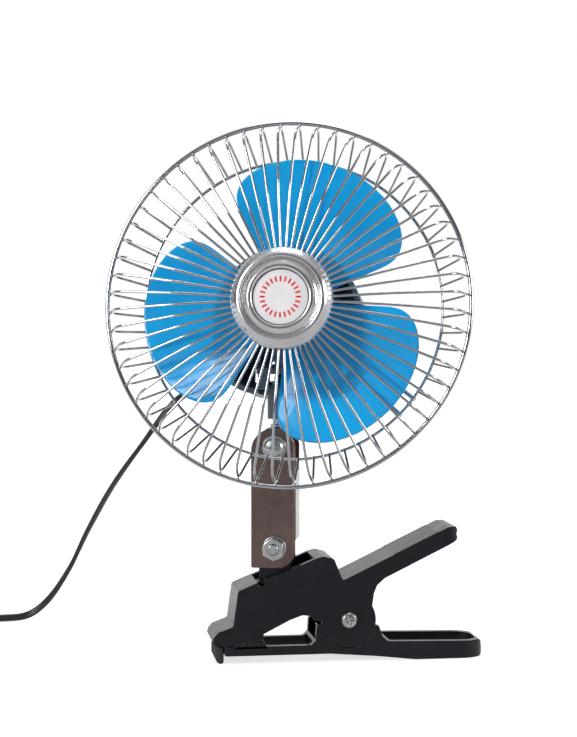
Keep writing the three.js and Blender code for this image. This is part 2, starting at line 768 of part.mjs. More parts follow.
// Boss over the pin, a deck under the motor and a saddle that the motor lies in
function gearCarrier() {
  const boss = rod("z", neckBossRadius, bossBottom, bossTop, { sides: 18 });
  const half = carrierPost / 2;
  const end = postAside + half - 0.5;
  const foot = bossTop - 1.8;
  const posts = [-1, 1].map((side) => join(
    block(side * postAside - half, side * postAside + half, -postAhead, -webBack, foot, deckBottom + 1),
    block(Math.min(side * end, 0), Math.max(side * end, 0), -webBack - webSheet, -webBack, foot, bossTop),
  ));
  const deck = upright(
    roundedRect(-deckLeft, motorAside + deckRight, -deckFront, wheelBehind + deckBehind, [3, 4, 5, 5], 3),
    deckBottom, deckTop,
  );
  const saddle = block(
    motorAside - saddleHalf, motorAside + saddleHalf, -deckFront + 1, saddleBack, deckTop - 1, -saddleTop,
  );
  const tilt = [90 - noseUp, 0, 0];
  const can = rod("z", motorRadius + gap, -70, 70, { sides: 24 }).rotate(tilt).translate([motorAside, 0, 0]);
  const pinHole = rod("z", neckPinRadius + gap, -90, bossTop + 1);
  const shaftHole = rod("z", wheelShaft + gap, -60, 0, { at: [wheelAside, wheelBehind, 0] });
  return cut(join(boss, ...posts, deck, saddle), can, pinHole, shaftHole);
}

// ---------------------------------------------------------------- motor, on its own axis

// Stations are measured forward from the neck pin, +Z forward, +Y up
function motorCan() {
  const profile = [
    [bushRadius + gap, motorFront], [motorRadius - 1.5, motorFront], [motorRadius, motorFront - 1.5],
    [motorRadius, -motorBack], [motorRadius - canWall, -motorBack],
    [motorRadius - canWall, motorFront - canWall], [bushRadius + gap, motorFront - canWall],
  ];
  return turned(profile, 24);
}

function motorBell() {
  const inside = motorRadius - canWall - gap;
  const back = -motorBack - gap;
  return turned([
    [bushRadius + gap, back - 2.4], [motorRadius - 1, back - 2.4], [motorRadius, back - 1],
    [motorRadius, back], [inside, back], [inside, back + 3], [inside - 1.5, back + 3],
    [inside - 1.5, back - 0.8], [bushRadius + gap, back - 0.8],
  ], 16);
}

function magnetRing() {
  const outside = motorRadius - canWall - gap;
  const inside = outside - magnetThick;
  return turned([
    [outside, -magnetBack], [outside, magnetFront], [inside, magnetFront], [inside, -magnetBack],
  ], 20);
}

// The motor's own rotor: three poles round the shaft, and the commutator behind them
function armature() {
  const outside = motorRadius - canWall - gap * 3 - magnetThick;
  const star = [0, 120, 240].flatMap((angle) => [
    ...arc(0, 0, outside, angle - 48, angle + 48, 5), [
      coreWaist * Math.cos(rad(angle + 60)), coreWaist * Math.sin(rad(angle + 60)),
    ],
  ]);
  const commutator = rod("z", commutatorRadius, -commutatorBack, 1 - coreBack, { sides: 12 });
  const bore = rod("z", shaftRadius + gap, -shaftBack, motorFront, { sides: 12 });
  return cut(join(upright(star, -coreBack, coreFront), commutator), bore);
}

const motorShaft = () => rod("z", shaftRadius, -shaftBack, shaftFront, { sides: 12 });

function bush(front, back) {
  return turned([
    [shaftRadius + gap, front], [bushRadius, front], [bushRadius, back], [shaftRadius + gap, back],
  ], 12);
}

function worm() {
  const from = -shaftBack + 1.5;
  const to = -shaftBack + 13;
  const profile = [[shaftRadius + gap, from]];
  const threads = 4;
  const pitch = (to - from) / threads;
  for (let i = 0; i < threads; i++) {
    const z = from + i * pitch;
    profile.push([wormRadius - 0.9, z], [wormRadius, z + pitch * 0.35], [wormRadius, z + pitch * 0.65]);
  }
  profile.push([wormRadius - 0.9, to], [shaftRadius + gap, to]);
  return turned(profile, 10);
}

// ---------------------------------------------------------------- motor cover

const mountFront = motorFront + gap + mountSheet;

function coverProfile(grow) {
  const outside = coverRadius - grow;
  const back = -coverBack + grow;
  const corner = 20 - grow;
  return arc(outside - corner, back + corner, corner, -90, 0, 2);
}

// The housing seen from behind: round above and squarer below
function coverPlan(inset) {
  const half = coverHalf - inset;
  const corner = coverCorner - inset;
  const points = [
    ...arc(0, 0, half, 0, 180, 12), ...arc(corner - half, corner - half, corner, 180, 270, 4),
    ...arc(half - corner, corner - half, corner, 270, 360, 4),
  ];
  return points.map(([x, y]) => [x + coverAside, y - coverDown]);
}

// A convex body through that outline at four stations, drawn in towards the back
function coverBody(inset, front) {
  const back = inset - coverBack;
  const stations = [
    [0, front], [0, back + coverRound], [coverRound * 0.3, back + coverRound * 0.3], [coverRound, back],
  ];
  return wasm.Manifold.hull(stations.flatMap(([more, z]) =>
    coverPlan(inset + more).map(([x, y]) => [x, y, z])));
}

// Slots side by side, the middle one in line with the housing's middle
function coverRow(count, y0, y1, z0, z1) {
  return Array.from({ length: count }, (_, i) => {
    const x = coverAside + (i - (count - 1) / 2) * slotPitch;
    return block(x - slotWidth / 2, x + slotWidth / 2, y0, y1, z0, z1);
  });
}

// A housing round the motor, open at the front, slotted low in its back and along its top
function rearCover() {
  const lip = upright(coverPlan(-coverLip), coverFront - 1.6, coverFront);
  const shell = cut(join(coverBody(0, coverFront), lip), coverBody(coverWall, coverFront + 1));
  const slots = [
    ...coverRow(slotCount, -slotLow, -slotHigh, -coverBack - 2, -coverBack + 9),
    ...coverRow(ventCount, motorRadius + 3, coverHalf + 2, -ventBack, -ventFront),
  ];
  const bottom = coverHalf + coverDown; // its underside, below the motor's axis
  const bossBehind = bottom * Math.sin(rad(noseUp)); // the boss is upright, the cover is not
  const wayHalf = postAside + carrierPost / 2 + 0.8;
  const bossWay = block(
    -motorAside - wayHalf, -motorAside + wayHalf, -bottom - 4, -bottom + 9,
    -bossBehind - neckBossRadius - 1.6, coverFront + 5,
  );
  const bars = [-1, 1].map(coverPillar);
  const knobWay = rod("z", knobStem + gap, -coverBack - 5, -coverBack + 5, { at: [knobAside, knobUp, 0] });
  const switchWay = block(
    switchAside - switchWide / 2 - gap, switchAside + switchWide / 2 + gap,
    switchUp - switchTall / 2 - gap, switchUp + switchTall / 2 + gap, -coverBack - 5, -coverBack + 5,
  );
  const grommetWay = rod("z", grommetRadius + gap, -coverBack - 5, -coverBack + 5, {
    at: [grommetAside, grommetUp, 0],
  });
  return cut(join(shell, ...bars), ...slots, bossWay, knobWay, switchWay, grommetWay, ...pillarBores());
}

// Pillars inside the cover that the motor's long screws pull it on to
const pillarOut = 13.5;
const pillarUp = 11;

function coverPillar(side) {
  const at = [side * pillarOut, pillarUp, 0];
  return rod("z", 3.6, -coverBack + 1, -motorBack - 3.4 - gap, { at, sides: 16 });
}

const pillarBores = () => [-1, 1].map((side) => {
  const at = [side * pillarOut, pillarUp, 0];
  return rod("z", 1.5 + gap, -coverBack - 4, 0, { at, sides: 12 });
});

function coverScrews(side) {
  const at = [side * pillarOut, pillarUp, 0];
  const back = -coverBack - gap;
  return join(
    rod("z", 1.5, back - 0.1, -motorBack - 3.2, { at, sides: 12 }),
    rod("z", 3.2, back - 2, back, { at, sides: 14 }),
  );
}

function swingKnob() {
  const at = [knobAside, knobUp, 0];
  const back = -coverBack - knobTravel;
  return join(
    rod("z", knobStem, back - 1, -coverBack + 8, { at, sides: 16 }),
    rod("z", 4.6, back - 9, back - 0.6, { at }),
    rod("z", 3.6, back - 0.8, back - 0.3, { at }),
  );
}

function switchBody() {
  const [w, h] = [switchWide / 2, switchTall / 2];
  const flange = block(-w - 1.4, w + 1.4, -h - 1.4, h + 1.4, -coverBack - gap - 1.2, -coverBack - gap);
  const core = block(-w, w, -h, h, -coverBack - gap - 0.5, -coverBack + 9);
  const well = block(-w + 1.2, w - 1.2, -h + 1.2, h - 1.2, -coverBack - 4, -coverBack + 5);
  return cut(join(flange, core), well).translate([switchAside, switchUp, 0]);
}

// Local origin on the rocker's pin, +X up on the cover, +Z forward
function switchRocker() {
  const half = switchTall / 2 - 1.2 - gap * 2;
  const width = switchWide / 2 - 1.2 - gap;
  const side = [[-half, 2.2], [-half, -1.4], [0, -1], [half, -3], [half, 2.2]];
  return sideways(side, -width, width).rotate([0, 0, 90]);
}

// ---------------------------------------------------------------- guard

const rimCentre = guardRadius - rimWire / 2;
const wireOut = rimCentre - rimWire / 2 - guardWire / 2 + rimWeld;
const rearRing = rimForward - rearRingBack;
const hubRingStation = rimForward + guardDome - 1.2;

// One guard wire in radius and station: hub ring, domed front, hairpin at the rim, rear ring
function guardWireSide() {
  return [
    [hubRingRadius, hubRingStation], [kinkRadius, rimForward + guardDome],
    [wireOut - hairpinIn, rimForward + guardDome - hairpinBack],
    [wireOut, rimForward - hairpinDrop], [rearRingRadius, rearRing],
  ];
}

function rimRing() {
  const geometry = new THREE.TorusGeometry(rimCentre, rimWire / 2, 4, wireCount);
  return solid(geometry.translate(0, 0, rimForward));
}

// A narrow band that the wires' ends are welded into
function band(radius, z, around) {
  const [near, far] = [radius - ringWire / 2, radius + ringWire / 2];
  const [back, front] = [z - ringWire / 2, z + ringWire / 2];
  return turned([[near, back], [far, back], [far, front], [near, front]], around);
}

function guard() {
  const side = guardWireSide();
  const wires = [];
  for (let i = 0; i < wireCount; i++) {
    const angle = (2 * Math.PI * (i + 0.5)) / wireCount;
    const points = side.map(([r, z]) => new THREE.Vector3(r * Math.cos(angle), r * Math.sin(angle), z));
    wires.push(wire(points, guardWire, 3));
  }
  const rings = [
    rimRing(), band(rearRingRadius, rearRing, wireCount), band(hubRingRadius, hubRingStation, wireCount / 2),
  ];
  return wasm.Manifold.union([...wires, ...rings]);
}

// A leg of two wires from the mount plate, under the rear ring and out to the rim
function guardLeg(angle) {
  const foot = mountFront + gap + legWire / 2;
  const under = rearRing - ringWire / 2 - legWire / 2 - gap;
  const lines = [-1, 1].map((side) => wire([
    new THREE.Vector3(legFoot - 4, side * 2.2, foot), new THREE.Vector3(legFoot + 6, side * 2.2, foot),
    new THREE.Vector3(legFoot + 14, side * legSpread * 0.7, under - 3),
    new THREE.Vector3(rearRingRadius - 1, side * legSpread, under),
    new THREE.Vector3(rearRingRadius + 3.6, side * legSpread, under + 1.2),
  ], legWire, 6));
  const tab = block(legFoot - 5, legFoot + 5, -4, 4, foot - legWire / 2, foot + legWire / 2);
  const hole = rod("z", 1.6 + gap, 0, 60, { at: [legFoot, 0, 0], sides: 8 });
  return cut(join(...lines, tab), hole).rotate([0, 0, angle]);
}

function legScrew(angle) {
  const head = mountFront + gap * 2 + legWire;
  const at = [legFoot, 0, 0];
  return join(
    rod("z", 1.6, mountFront - mountSheet - 2.2, head + 0.1, { at, sides: 8 }),
    rod("z", 3.1, head, head + 1.9, { at, sides: 12 }),
  ).rotate([0, 0, angle]);
}

// A pressed plate across the motor's front
function mountPlate() {
  const lobes = legAngles.map((angle) =>
    rod("z", 6, mountFront - mountSheet, mountFront, { at: [legFoot, 0, 0], sides: 10 })
      .add(block(0, legFoot, -6, 6, mountFront - mountSheet, mountFront)).rotate([0, 0, angle]));
  const holes = legAngles.map((angle) =>
    rod("z", 1.6 + gap, 0, 60, { at: [legFoot, 0, 0], sides: 8 }).rotate([0, 0, angle]));
  const disc = rod("z", motorRadius, mountFront - mountSheet, mountFront, { sides: 24 });
  return cut(join(disc, ...lobes), ...holes, rod("z", bushRadius + 1.5, 0, 60));
}

const legAngles = Array.from({ length: legCount }, (_, i) => legFirst + (360 * i) / legCount);

const frontFace = rimForward + guardDome + guardWire / 2;

// Pressed cap: rolled edge, bright bevel, groove and a second slope down to the badge
function guardCap() {
  const z = frontFace + gap;
  return turned([
    [capRadius - 1.6, z], [capRadius, z + 0.2], [capRadius, z + 2.2], [capRadius - 2.2, z + 5.4],
    [capRadius - 4.6, z + 6.6], [capRadius - 5.6, z + 5.8], [capRadius - 7, z + capHeight - 0.6],
    [badgeRadius + 1.6, z + capHeight], [badgeRadius + gap, z + capHeight - 1.6],
    [badgeRadius + gap, z + capHeight - 3.4], [0, z + capHeight - 3.4],
    [0, z + capHeight - 3.4 - capWall], [capRadius - 4, z + capHeight - 3.4 - capWall],
  ], 30);
}

function capBadge() {
  const z = frontFace + capHeight - 3.4 + gap * 2;
  return rod("z", badgeRadius, z, z + 1.7, { sides: 40 });
}

// The plate behind the wires that the cap is riveted to
function capBackPlate() {
  const z = hubRingStation - ringWire / 2 - gap;
  const plate = rod("z", hubRingRadius + 1.4, z - 1, z, { sides: 24 });
  const rivet = rod("z", 2.4, z - 2.2, frontFace + capHeight - 3.4 - capWall, { sides: 14 });
  return join(plate, rivet);
}

// ---------------------------------------------------------------- rotor

// One blade as a helical sheet between a root and a rounded outline
function blade(middle) {
  const rows = 7;
  const columns = 5;
  const half = rad(bladeSpan / 2);
  const corner = 26; // the outline rounds off over the outer part of the blade
  const surface = [];
  for (let row = 0; row < rows; row++) {
    const v = Math.sin(((row / (rows - 1)) * Math.PI) / 2);
    const radius = bladeRoot + (bladeTip - bladeRoot) * v * 0.999;
    const past = Math.max(0, (radius - (bladeTip - corner)) / corner);
    const reach = half * Math.pow(1 - Math.pow(past, 3.2), 1 / 2.2);
    for (let column = 0; column < columns; column++) {
      const turn = reach * (-1 + (2 * column) / (columns - 1));
      const z = bladeMiddle + (bladeDepth * turn) / (2 * half);
      surface.push([radius, rad(middle) + turn, z]);
    }
  }
  const points = [];
  for (const side of [1, -1]) {
    for (const [radius, angle, z] of surface) {
      points.push(radius * Math.cos(angle), radius * Math.sin(angle), z + (side * bladeSheet) / 2);
    }
  }
  const faces = [];
  const count = rows * columns;
  const quad = (a, b, c, d) => faces.push(a, b, c, a, c, d);
  for (let r = 0; r < rows - 1; r++) {
    for (let c = 0; c < columns - 1; c++) {
      const a = r * columns + c;
      quad(a, a + columns, a + columns + 1, a + 1);
      quad(count + a, count + a + 1, count + a + columns + 1, count + a + columns);
    }
  }
  const edge = [];
  for (let c = 0; c < columns - 1; c++) edge.push(c);
  for (let r = 0; r < rows - 1; r++) edge.push(r * columns + columns - 1);
  for (let c = columns - 1; c > 0; c--) edge.push((rows - 1) * columns + c);
  for (let r = rows - 1; r > 0; r--) edge.push(r * columns);
  edge.forEach((a, i) => {
    const b = edge[(i + 1) % edge.length];
    quad(a, b, count + b, count + a);
  });
  const geometry = new THREE.BufferGeometry();
  geometry.setAttribute("position", new THREE.Float32BufferAttribute(points, 3));
  geometry.setIndex(faces);
  return solid(geometry);
}

function rotor() {
  const front = bladeMiddle + rotorHubLength / 2;
  const back = bladeMiddle - rotorHubLength / 2;
  const hub = turned([
    [shaftRadius + gap, front - 5], [shaftRadius + gap, back], [5, back], [5, front - 3],
    [rotorHubRadius - 2, front - 3], [rotorHubRadius - 2, back + 1], [rotorHubRadius, back + 1],
    [rotorHubRadius, front - 2], [rotorHubRadius - 3, front], [5.4, front], [4.6, front - 5],
  ], 20);
  const blades = Array.from({ length: bladeCount }, (_, i) => blade(bladeFirst + (360 * i) / bladeCount));
  const hubSpace = rod("z", rotorHubRadius - 1, back - 20, front + 20, { sides: 20 });
  return join(hub, ...blades.map((one) => one.subtract(hubSpace)));
}

function rotorNut() {
  const back = bladeMiddle + rotorHubLength / 2 - 5 + gap;
  const nut = hexRod("z", 5.5, back, back + 3);
  return cut(nut, rod("z", shaftRadius + 0.25, 0, 90, { sides: 14 }));
}

// ---------------------------------------------------------------- cord, coil and plug

function smooth(points, steps) {
  const curve = new THREE.CatmullRomCurve3(points, false, "centripetal");
  return curve.getSpacedPoints(steps);
}

const spots = (list) => list.map(([x, y, z]) => new THREE.Vector3(x, y, z));

const perLayer = coilTurns / 2;
const coilInner = coilMeanRadius - (coilStep * (perLayer - 0.5)) / 2;
const coilOuter = coilInner + coilStep * (perLayer - 0.25);
const coilFloor = cordWidth / 2 + tieSheet + gap;

// A coil that spirals in on the table and out again on top
function coilPoints() {
  const stepsPerTurn = 16;
  const spiral = Array.from({ length: coilTurns * stepsPerTurn + 1 }, (_, i) => {
    const turn = i / stepsPerTurn;
    const out = Math.max(Math.abs(turn - perLayer), 0.25) - 0.25;
    const radius = coilInner + coilStep * out;
    const climb = THREE.MathUtils.smoothstep(turn, perLayer - 0.25, perLayer + 0.25);
    const angle = rad(coilStart + turn * 360);
    return new THREE.Vector3(
      coilPlace[0] + radius * Math.cos(angle), coilPlace[1] + radius * Math.sin(angle),
      coilFloor + climb * coilLayer,
    );
  });
  const along = new THREE.Vector3(cordWidth, 0, 0);
  const end = spiral[spiral.length - 1];
  return [spiral[0].clone().add(along), ...spiral, end.clone().sub(along)];
}

// The least distance between turns, surface to surface
function leastGap(points, thickness, apart) {
  let least = Infinity;
  points.forEach((a, i) => {
    for (let j = i + apart; j < points.length; j++) least = Math.min(least, a.distanceTo(points[j]));
  });
  return least - thickness;
}

const fallSteps = 30;
const tailSteps = 12;

// A tie round the wound turns
function coilTie() {
  const middle = (coilInner + coilOuter) / 2;
  const half = (coilOuter - coilInner + cordWidth) / 2 + gap;
  const top = coilFloor + coilLayer + cordWidth / 2 + gap;
  const [w, t] = [tieWidth / 2, tieSheet];
  const loop = cut(
    block(middle - half - t, middle + half + t, -w, w, 0.05, top + t),
    block(middle - half, middle + half, -w - 1, w + 1, 0.05 + t, top),
  );
  const ends = block(middle - 3, middle + 3, -1.2, 1.2, top + t - 0.2, top + t + 2);
  return join(loop, ends).rotate([0, 0, 205]).translate([...coilPlace, 0]);
}

// Plug for a car's lighter socket, +Z towards its tip
const contactFrom = plugLength - 22;

function plugBody() {
  const r = plugRadius;
  const shell = turned([
    [cordWidth / 2 + gap, -9], [cordWidth / 2 + 1.2, -9], [cordWidth / 2 + 2.4, 0], [r - 1.5, 0.4],
    [r, 2], [r, 22], [r - 1.4, 24], [r - 1.4, plugLength - 8], [r - 3.4, plugLength - 5],
    [plugTipRadius + gap, plugLength - 5], [plugTipRadius + gap, plugLength - 16],
    [3, plugLength - 16], [3, 3], [cordWidth / 2 + gap, 3],
  ], 16);
  const pocket = (side) => block(
    Math.min(side * (r - 4), side * r), Math.max(side * (r - 4), side * r), -2.4, 2.4,
    contactFrom - gap, contactFrom + 14 + gap,
  );
  return cut(shell, pocket(1), pocket(-1));
}

function plugContact(side) {
  const r = plugRadius;
  const strip = sideways([
    [r - 3.6, contactFrom], [r - 0.6, contactFrom + 4], [r - 0.6, contactFrom + 9],
    [r - 3.6, contactFrom + 14],
    [r - 3.6, contactFrom + 12.8], [r - 1.4, contactFrom + 9], [r - 1.4, contactFrom + 4],
    [r - 3.6, contactFrom + 1.2],
  ], -2, 2);
  return side > 0 ? strip : strip.rotate([0, 0, 180]);
}

function plugTip() {
  return join(
    rod("z", plugTipRadius, plugLength - 11, plugLength - 1.5, { sides: 18 }),
    rod("z", plugTipRadius - 1, plugLength - 1.6, plugLength + 0.5, { sides: 18 }),
  );
}

// ---------------------------------------------------------------- assembly

// A nested group: its place in the parent's frame and its turn there, in degrees
function frame(parent, x, y, z, turnX = 0, turnZ = 0) {
  const group = new THREE.Group();
  group.position.set(x, y, z);
  group.rotation.set(rad(turnX), 0, rad(turnZ));
  parent.add(group);
  return group;
}

function buildClip() {
  place(fan, "lower_lever", lowerLever(), finish.blackPlastic);
  place(fan, "jaw_foot", jawFoot(), finish.rubber);
  place(fan, "clip_axle_screw", axleScrew(), finish.zinc);
  place(fan, "clip_axle_nut", axleNut(), finish.zinc);
  place(fan, "clip_spring", clipSpring(), finish.steel);
  place(fan, "upper_lever", upperLever(), finish.blackPlastic);
}

function buildPost() {
  const swivel = frame(fan, -postBehindAxle, 0, socketFloor, 0, postTurn);
  place(swivel, "swivel_block", swivelBlock(), finish.blackPlastic);
  place(swivel, "swivel_screw", swivelScrew(), finish.zinc);
  const lower = frame(swivel, 0, 0, blockTop);
  place(lower, "bracket", bracket(), finish.bronze);
  place(lower, "lower_bolt", boltWithNutInFront(), finish.zinc);
  place(lower, "lower_washer", washer(-faceY - washerSheet, 0), finish.zinc);
  place(lower, "lower_nut", frontNut(0), finish.zinc);
  place(lower, "upper_bolt", panBolt(), finish.zinc);
  place(lower, "upper_washer", washer(-faceY - washerSheet, boltSpacing), finish.zinc);
  place(lower, "upper_nut", rearNut(boltSpacing), finish.zinc);
  const upper = frame(lower, 0, 0, boltSpacing);
  place(upper, "neck_lug", neckLug(), finish.steel);
  place(upper, "neck_pin", neckPin(), finish.chrome);
  return frame(upper, 0, 0, headAboveBolt);
}

function buildDrive(head) {
  place(head, "neck_arm", neckArm(), finish.steel);
  place(head, "swing_link", swingLink(), finish.steel);
  place(head, "worm_wheel", wormWheel(), finish.whitePlastic);
  place(head, "gear_carrier", gearCarrier(), finish.darkPlastic);
}

function buildMotor(axis) {
  place(axis, "motor_can", motorCan(), finish.zinc);
  place(axis, "motor_end_bell", motorBell(), finish.darkPlastic);
  place(axis, "motor_magnet", magnetRing(), finish.darkPlastic);
  place(axis, "motor_armature", armature(), finish.steel);
  place(axis, "motor_shaft", motorShaft(), finish.steel);
  place(axis, "front_bush", bush(motorFront + 1, motorFront - 4), finish.brass);
  place(axis, "rear_bush", bush(-motorBack + 1, -motorBack - 3), finish.brass);
  place(axis, "worm", worm(), finish.brass);
  place(axis, "mount_plate", mountPlate(), finish.steel);
}

function buildCover(axis) {
  place(axis, "rear_cover", rearCover(), finish.darkPlastic);
  place(axis, "cover_screw_left", coverScrews(-1), finish.zinc);
  place(axis, "cover_screw_right", coverScrews(1), finish.zinc);
  place(axis, "swing_knob", swingKnob(), finish.blackPlastic);
  place(axis, "switch_body", switchBody(), finish.blackPlastic);
  const pin = frame(axis, switchAside, switchUp, -coverBack - rockerDepth);
  place(pin, "switch_rocker", switchRocker(), finish.blackPlastic);
  place(axis, "cord_grommet", cordGrommet(), finish.rubber);
}

function buildGuard(axis) {
  place(axis, "guard", guard(), finish.chrome);
  legAngles.forEach((angle, i) => {
    place(axis, `guard_leg_${i + 1}`, guardLeg(angle), finish.chrome);
    place(axis, `leg_screw_${i + 1}`, legScrew(angle), finish.zinc);
  });
  place(axis, "guard_cap", guardCap(), finish.chrome);
  place(axis, "cap_badge", capBadge(), finish.pearl);
  place(axis, "cap_back_plate", capBackPlate(), finish.steel);
  place(axis, "rotor", rotor(), finish.blueBlade);
  place(axis, "rotor_nut", rotorNut(), finish.brass);
}

// A rubber sleeve in the cover's back wall, pointing out and down
function cordGrommet() {
  const sleeve = turned([
    [cordWidth / 2 + gap, -coverBack + 3], [grommetRadius, -coverBack + 3],
    [grommetRadius, -coverBack - gap], [grommetRadius + 1.4, -coverBack - gap],
    [grommetRadius + 1.4, -coverBack - 2], [grommetRadius - 0.4, -coverBack - 2.6],
    [cordWidth / 2 + 1, -coverBack - grommetLength], [cordWidth / 2 + gap, -coverBack - grommetLength],
  ], 14);
  return sleeve.translate([grommetAside, grommetUp, 0]);
}

function buildCord(axis) {
  fan.updateMatrixWorld(true);
  const outlet = new THREE.Vector3(grommetAside, grommetUp, -coverBack);
  const inside = outlet.clone().setZ(-coverBack + 1);
  axis.localToWorld(outlet);
  axis.localToWorld(inside);
  const inward = inside.sub(outlet).normalize();
  const coil = coilPoints();
  const beside = (point, step) => point.clone().add(new THREE.Vector3(step, 0, 0));
  const free = [bendOut(outlet, inward), ...spots(cordFall), beside(coil[0], cordWidth * 1.5)];
  const fall = [...sleeveRoute(outlet, inward), ...smooth(free, fallSteps), beside(coil[0], gap)];
  place(fan, "cord", wire(fall, cordWidth, 8), finish.rubber);
  place(fan, "cord_coil", wire(coil, cordWidth, 5), finish.rubber);
  place(fan, "coil_tie", coilTie(), finish.rubber);
  const end = coil[coil.length - 1];
  const plug = frame(fan, ...plugPlace, plugRadius, 90);
  const [plugX, plugY] = plugPlace;
  const [near, inPlug] = [14, -1].map((step) => new THREE.Vector3(plugX, plugY + step, plugRadius));
  const bends = smooth([beside(end, -cordWidth * 1.5), ...spots(cordTail), near], tailSteps);
  place(fan, "cord_tail", wire([beside(end, -gap), ...bends, inPlug], cordWidth, 8), finish.rubber);
  place(plug, "plug_body", plugBody(), finish.blackPlastic);
  place(plug, "plug_contact_left", plugContact(-1), finish.steel);
  place(plug, "plug_contact_right", plugContact(1), finish.steel);
  place(plug, "plug_tip", plugTip(), finish.zinc);
  console.log("coil, least gap between turns:", leastGap(coil, cordWidth, 9).toFixed(2), "mm");
}

// The cord's two ends in the sleeve run straight through it
const sleeveRoute = (outlet, inward) =>
  [2, -grommetLength].map((step) => outlet.clone().addScaledVector(inward, step));
const bendOut = (outlet, inward) => outlet.clone().addScaledVector(inward, -grommetLength - cordWidth);

// The origin is on the table, under the middle of the fan without its cord
function setOrigin() {
  const onCord = ["cord", "cord_coil", "coil_tie", "cord_tail", "plug_body", "plug_contact_left",
    "plug_contact_right", "plug_tip"];
  fan.updateMatrixWorld(true);
  const box = new THREE.Box3();
  fan.traverse((piece) => {
    if (piece.isMesh && !onCord.includes(piece.name)) box.expandByObject(piece, true);
  });
  const centre = box.getCenter(new THREE.Vector3());
  fan.position.set(-centre.x, -centre.y, 0);
  fan.updateMatrixWorld(true);
  console.log("clip axle at x", -centre.x.toFixed(3), "y", -centre.y.toFixed(3));
}

buildClip();
const head = buildPost();
buildDrive(head);
const axis = frame(head, motorAside, 0, 0, 90 - noseUp);
buildMotor(axis);
buildCover(axis);
buildGuard(axis);
buildCord(axis);
setOrigin();

export default fan;
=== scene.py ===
"""Looks of the clip fan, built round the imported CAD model.

Shapes are worked out in millimetres in the same local frames as the CAD source, and become
metres when they are placed. Texture coordinates are each piece's own, in metres.
"""

import math

import bmesh
import bpy
from mathutils import Matrix, Vector


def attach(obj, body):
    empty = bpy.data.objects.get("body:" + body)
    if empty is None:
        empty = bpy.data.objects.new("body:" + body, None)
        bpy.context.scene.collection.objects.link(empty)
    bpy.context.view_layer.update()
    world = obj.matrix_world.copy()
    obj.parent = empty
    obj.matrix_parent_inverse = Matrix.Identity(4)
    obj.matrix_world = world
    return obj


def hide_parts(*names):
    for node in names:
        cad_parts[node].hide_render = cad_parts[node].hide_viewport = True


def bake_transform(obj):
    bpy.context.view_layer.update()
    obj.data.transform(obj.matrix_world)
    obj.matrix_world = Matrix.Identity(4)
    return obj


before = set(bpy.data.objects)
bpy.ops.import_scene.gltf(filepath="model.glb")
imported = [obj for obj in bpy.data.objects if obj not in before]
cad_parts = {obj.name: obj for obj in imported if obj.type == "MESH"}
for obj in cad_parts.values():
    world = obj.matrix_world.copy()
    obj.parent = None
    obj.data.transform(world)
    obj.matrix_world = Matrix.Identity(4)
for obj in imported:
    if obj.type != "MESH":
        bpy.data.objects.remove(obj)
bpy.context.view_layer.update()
scene = bpy.context.scene

MM = 0.001
GAP = 0.3
MERGE = 1e-5  # points nearer than this become one
SMALL = 2e-3  # the same, before edges are rounded
WORLD = Matrix.Identity(4)
SOCKET_FLOOR = 33
LOWER_BOLT = 23.5  # above the socket's floor
BOLT_SPACING = 50

# ------------------------------------------------------------------ frames, in millimetres


def moved(x, y, z):
    return Matrix.Translation((x, y, z))


def turned_about(axis, degrees):
    return Matrix.Rotation(math.radians(degrees), 4, axis)


AXLE_HEIGHT = 20.6
NOSE_UP = 7.5  # degrees
POST_TURN = -15.4  # degrees
POST_X = -34  # from the axle
CLIP = moved(25.125, 8.118, 0)
POST = CLIP @ moved(POST_X, 0, SOCKET_FLOOR) @ turned_about("Z", POST_TURN)
LOWER = POST @ moved(0, 0, LOWER_BOLT)
UPPER = LOWER @ moved(0, 0, BOLT_SPACING)
HEAD = UPPER @ moved(0, 0, 65.4)
MOTOR_ASIDE = 11
AXIS = HEAD @ moved(MOTOR_ASIDE, 0, 0) @ turned_about("X", 90 - NOSE_UP)
PLUG = CLIP @ moved(-272, 62, 10.5) @ turned_about("X", 90)

# ------------------------------------------------------------------ camera, light and floor


def make_camera():
    data = bpy.data.cameras.new("photo_camera")
    data.lens = 90
    data.sensor_width = 36
    camera = bpy.data.objects.new("photo_camera", data)
    scene.collection.objects.link(camera)
    eye = Vector((-0.133621, -0.903296, 0.18232))
    target = Vector((-0.003095, 0.008118, 0.145285))
    camera.location = eye
    camera.rotation_mode = "QUATERNION"
    camera.rotation_quaternion = (target - eye).to_track_quat("-Z", "Y")
    scene.camera = camera


make_camera()
scene.view_settings.view_transform = "Standard"

# ------------------------------------------------------------------ routes


def centripetal(points, count):
    """count + 1 points along the centripetal curve through points, equally far apart."""
    points = [Vector(p) for p in points]
    ends = [points[0] * 2 - points[1], *points, points[-1] * 2 - points[-2]]
    fine = []
    for i in range(len(points) - 1):
        fine += one_span(*ends[i : i + 4], 40)
    fine.append(points[-1])
    return evenly(fine, count)


def one_span(p0, p1, p2, p3, steps):
    d0, d1, d2 = ((b - a).length ** 0.5 for a, b in ((p0, p1), (p1, p2), (p2, p3)))
    t1 = ((p1 - p0) / d0 - (p2 - p0) / (d0 + d1) + (p2 - p1) / d1) * d1
    t2 = ((p2 - p1) / d1 - (p3 - p1) / (d1 + d2) + (p3 - p2) / d2) * d1
    found = []
    for i in range(steps):
        t = i / steps
        c2 = -3 * p1 + 3 * p2 - 2 * t1 - t2
        c3 = 2 * p1 - 2 * p2 + t1 + t2
        found.append(p1 + t1 * t + c2 * t * t + c3 * t**3)
    return found


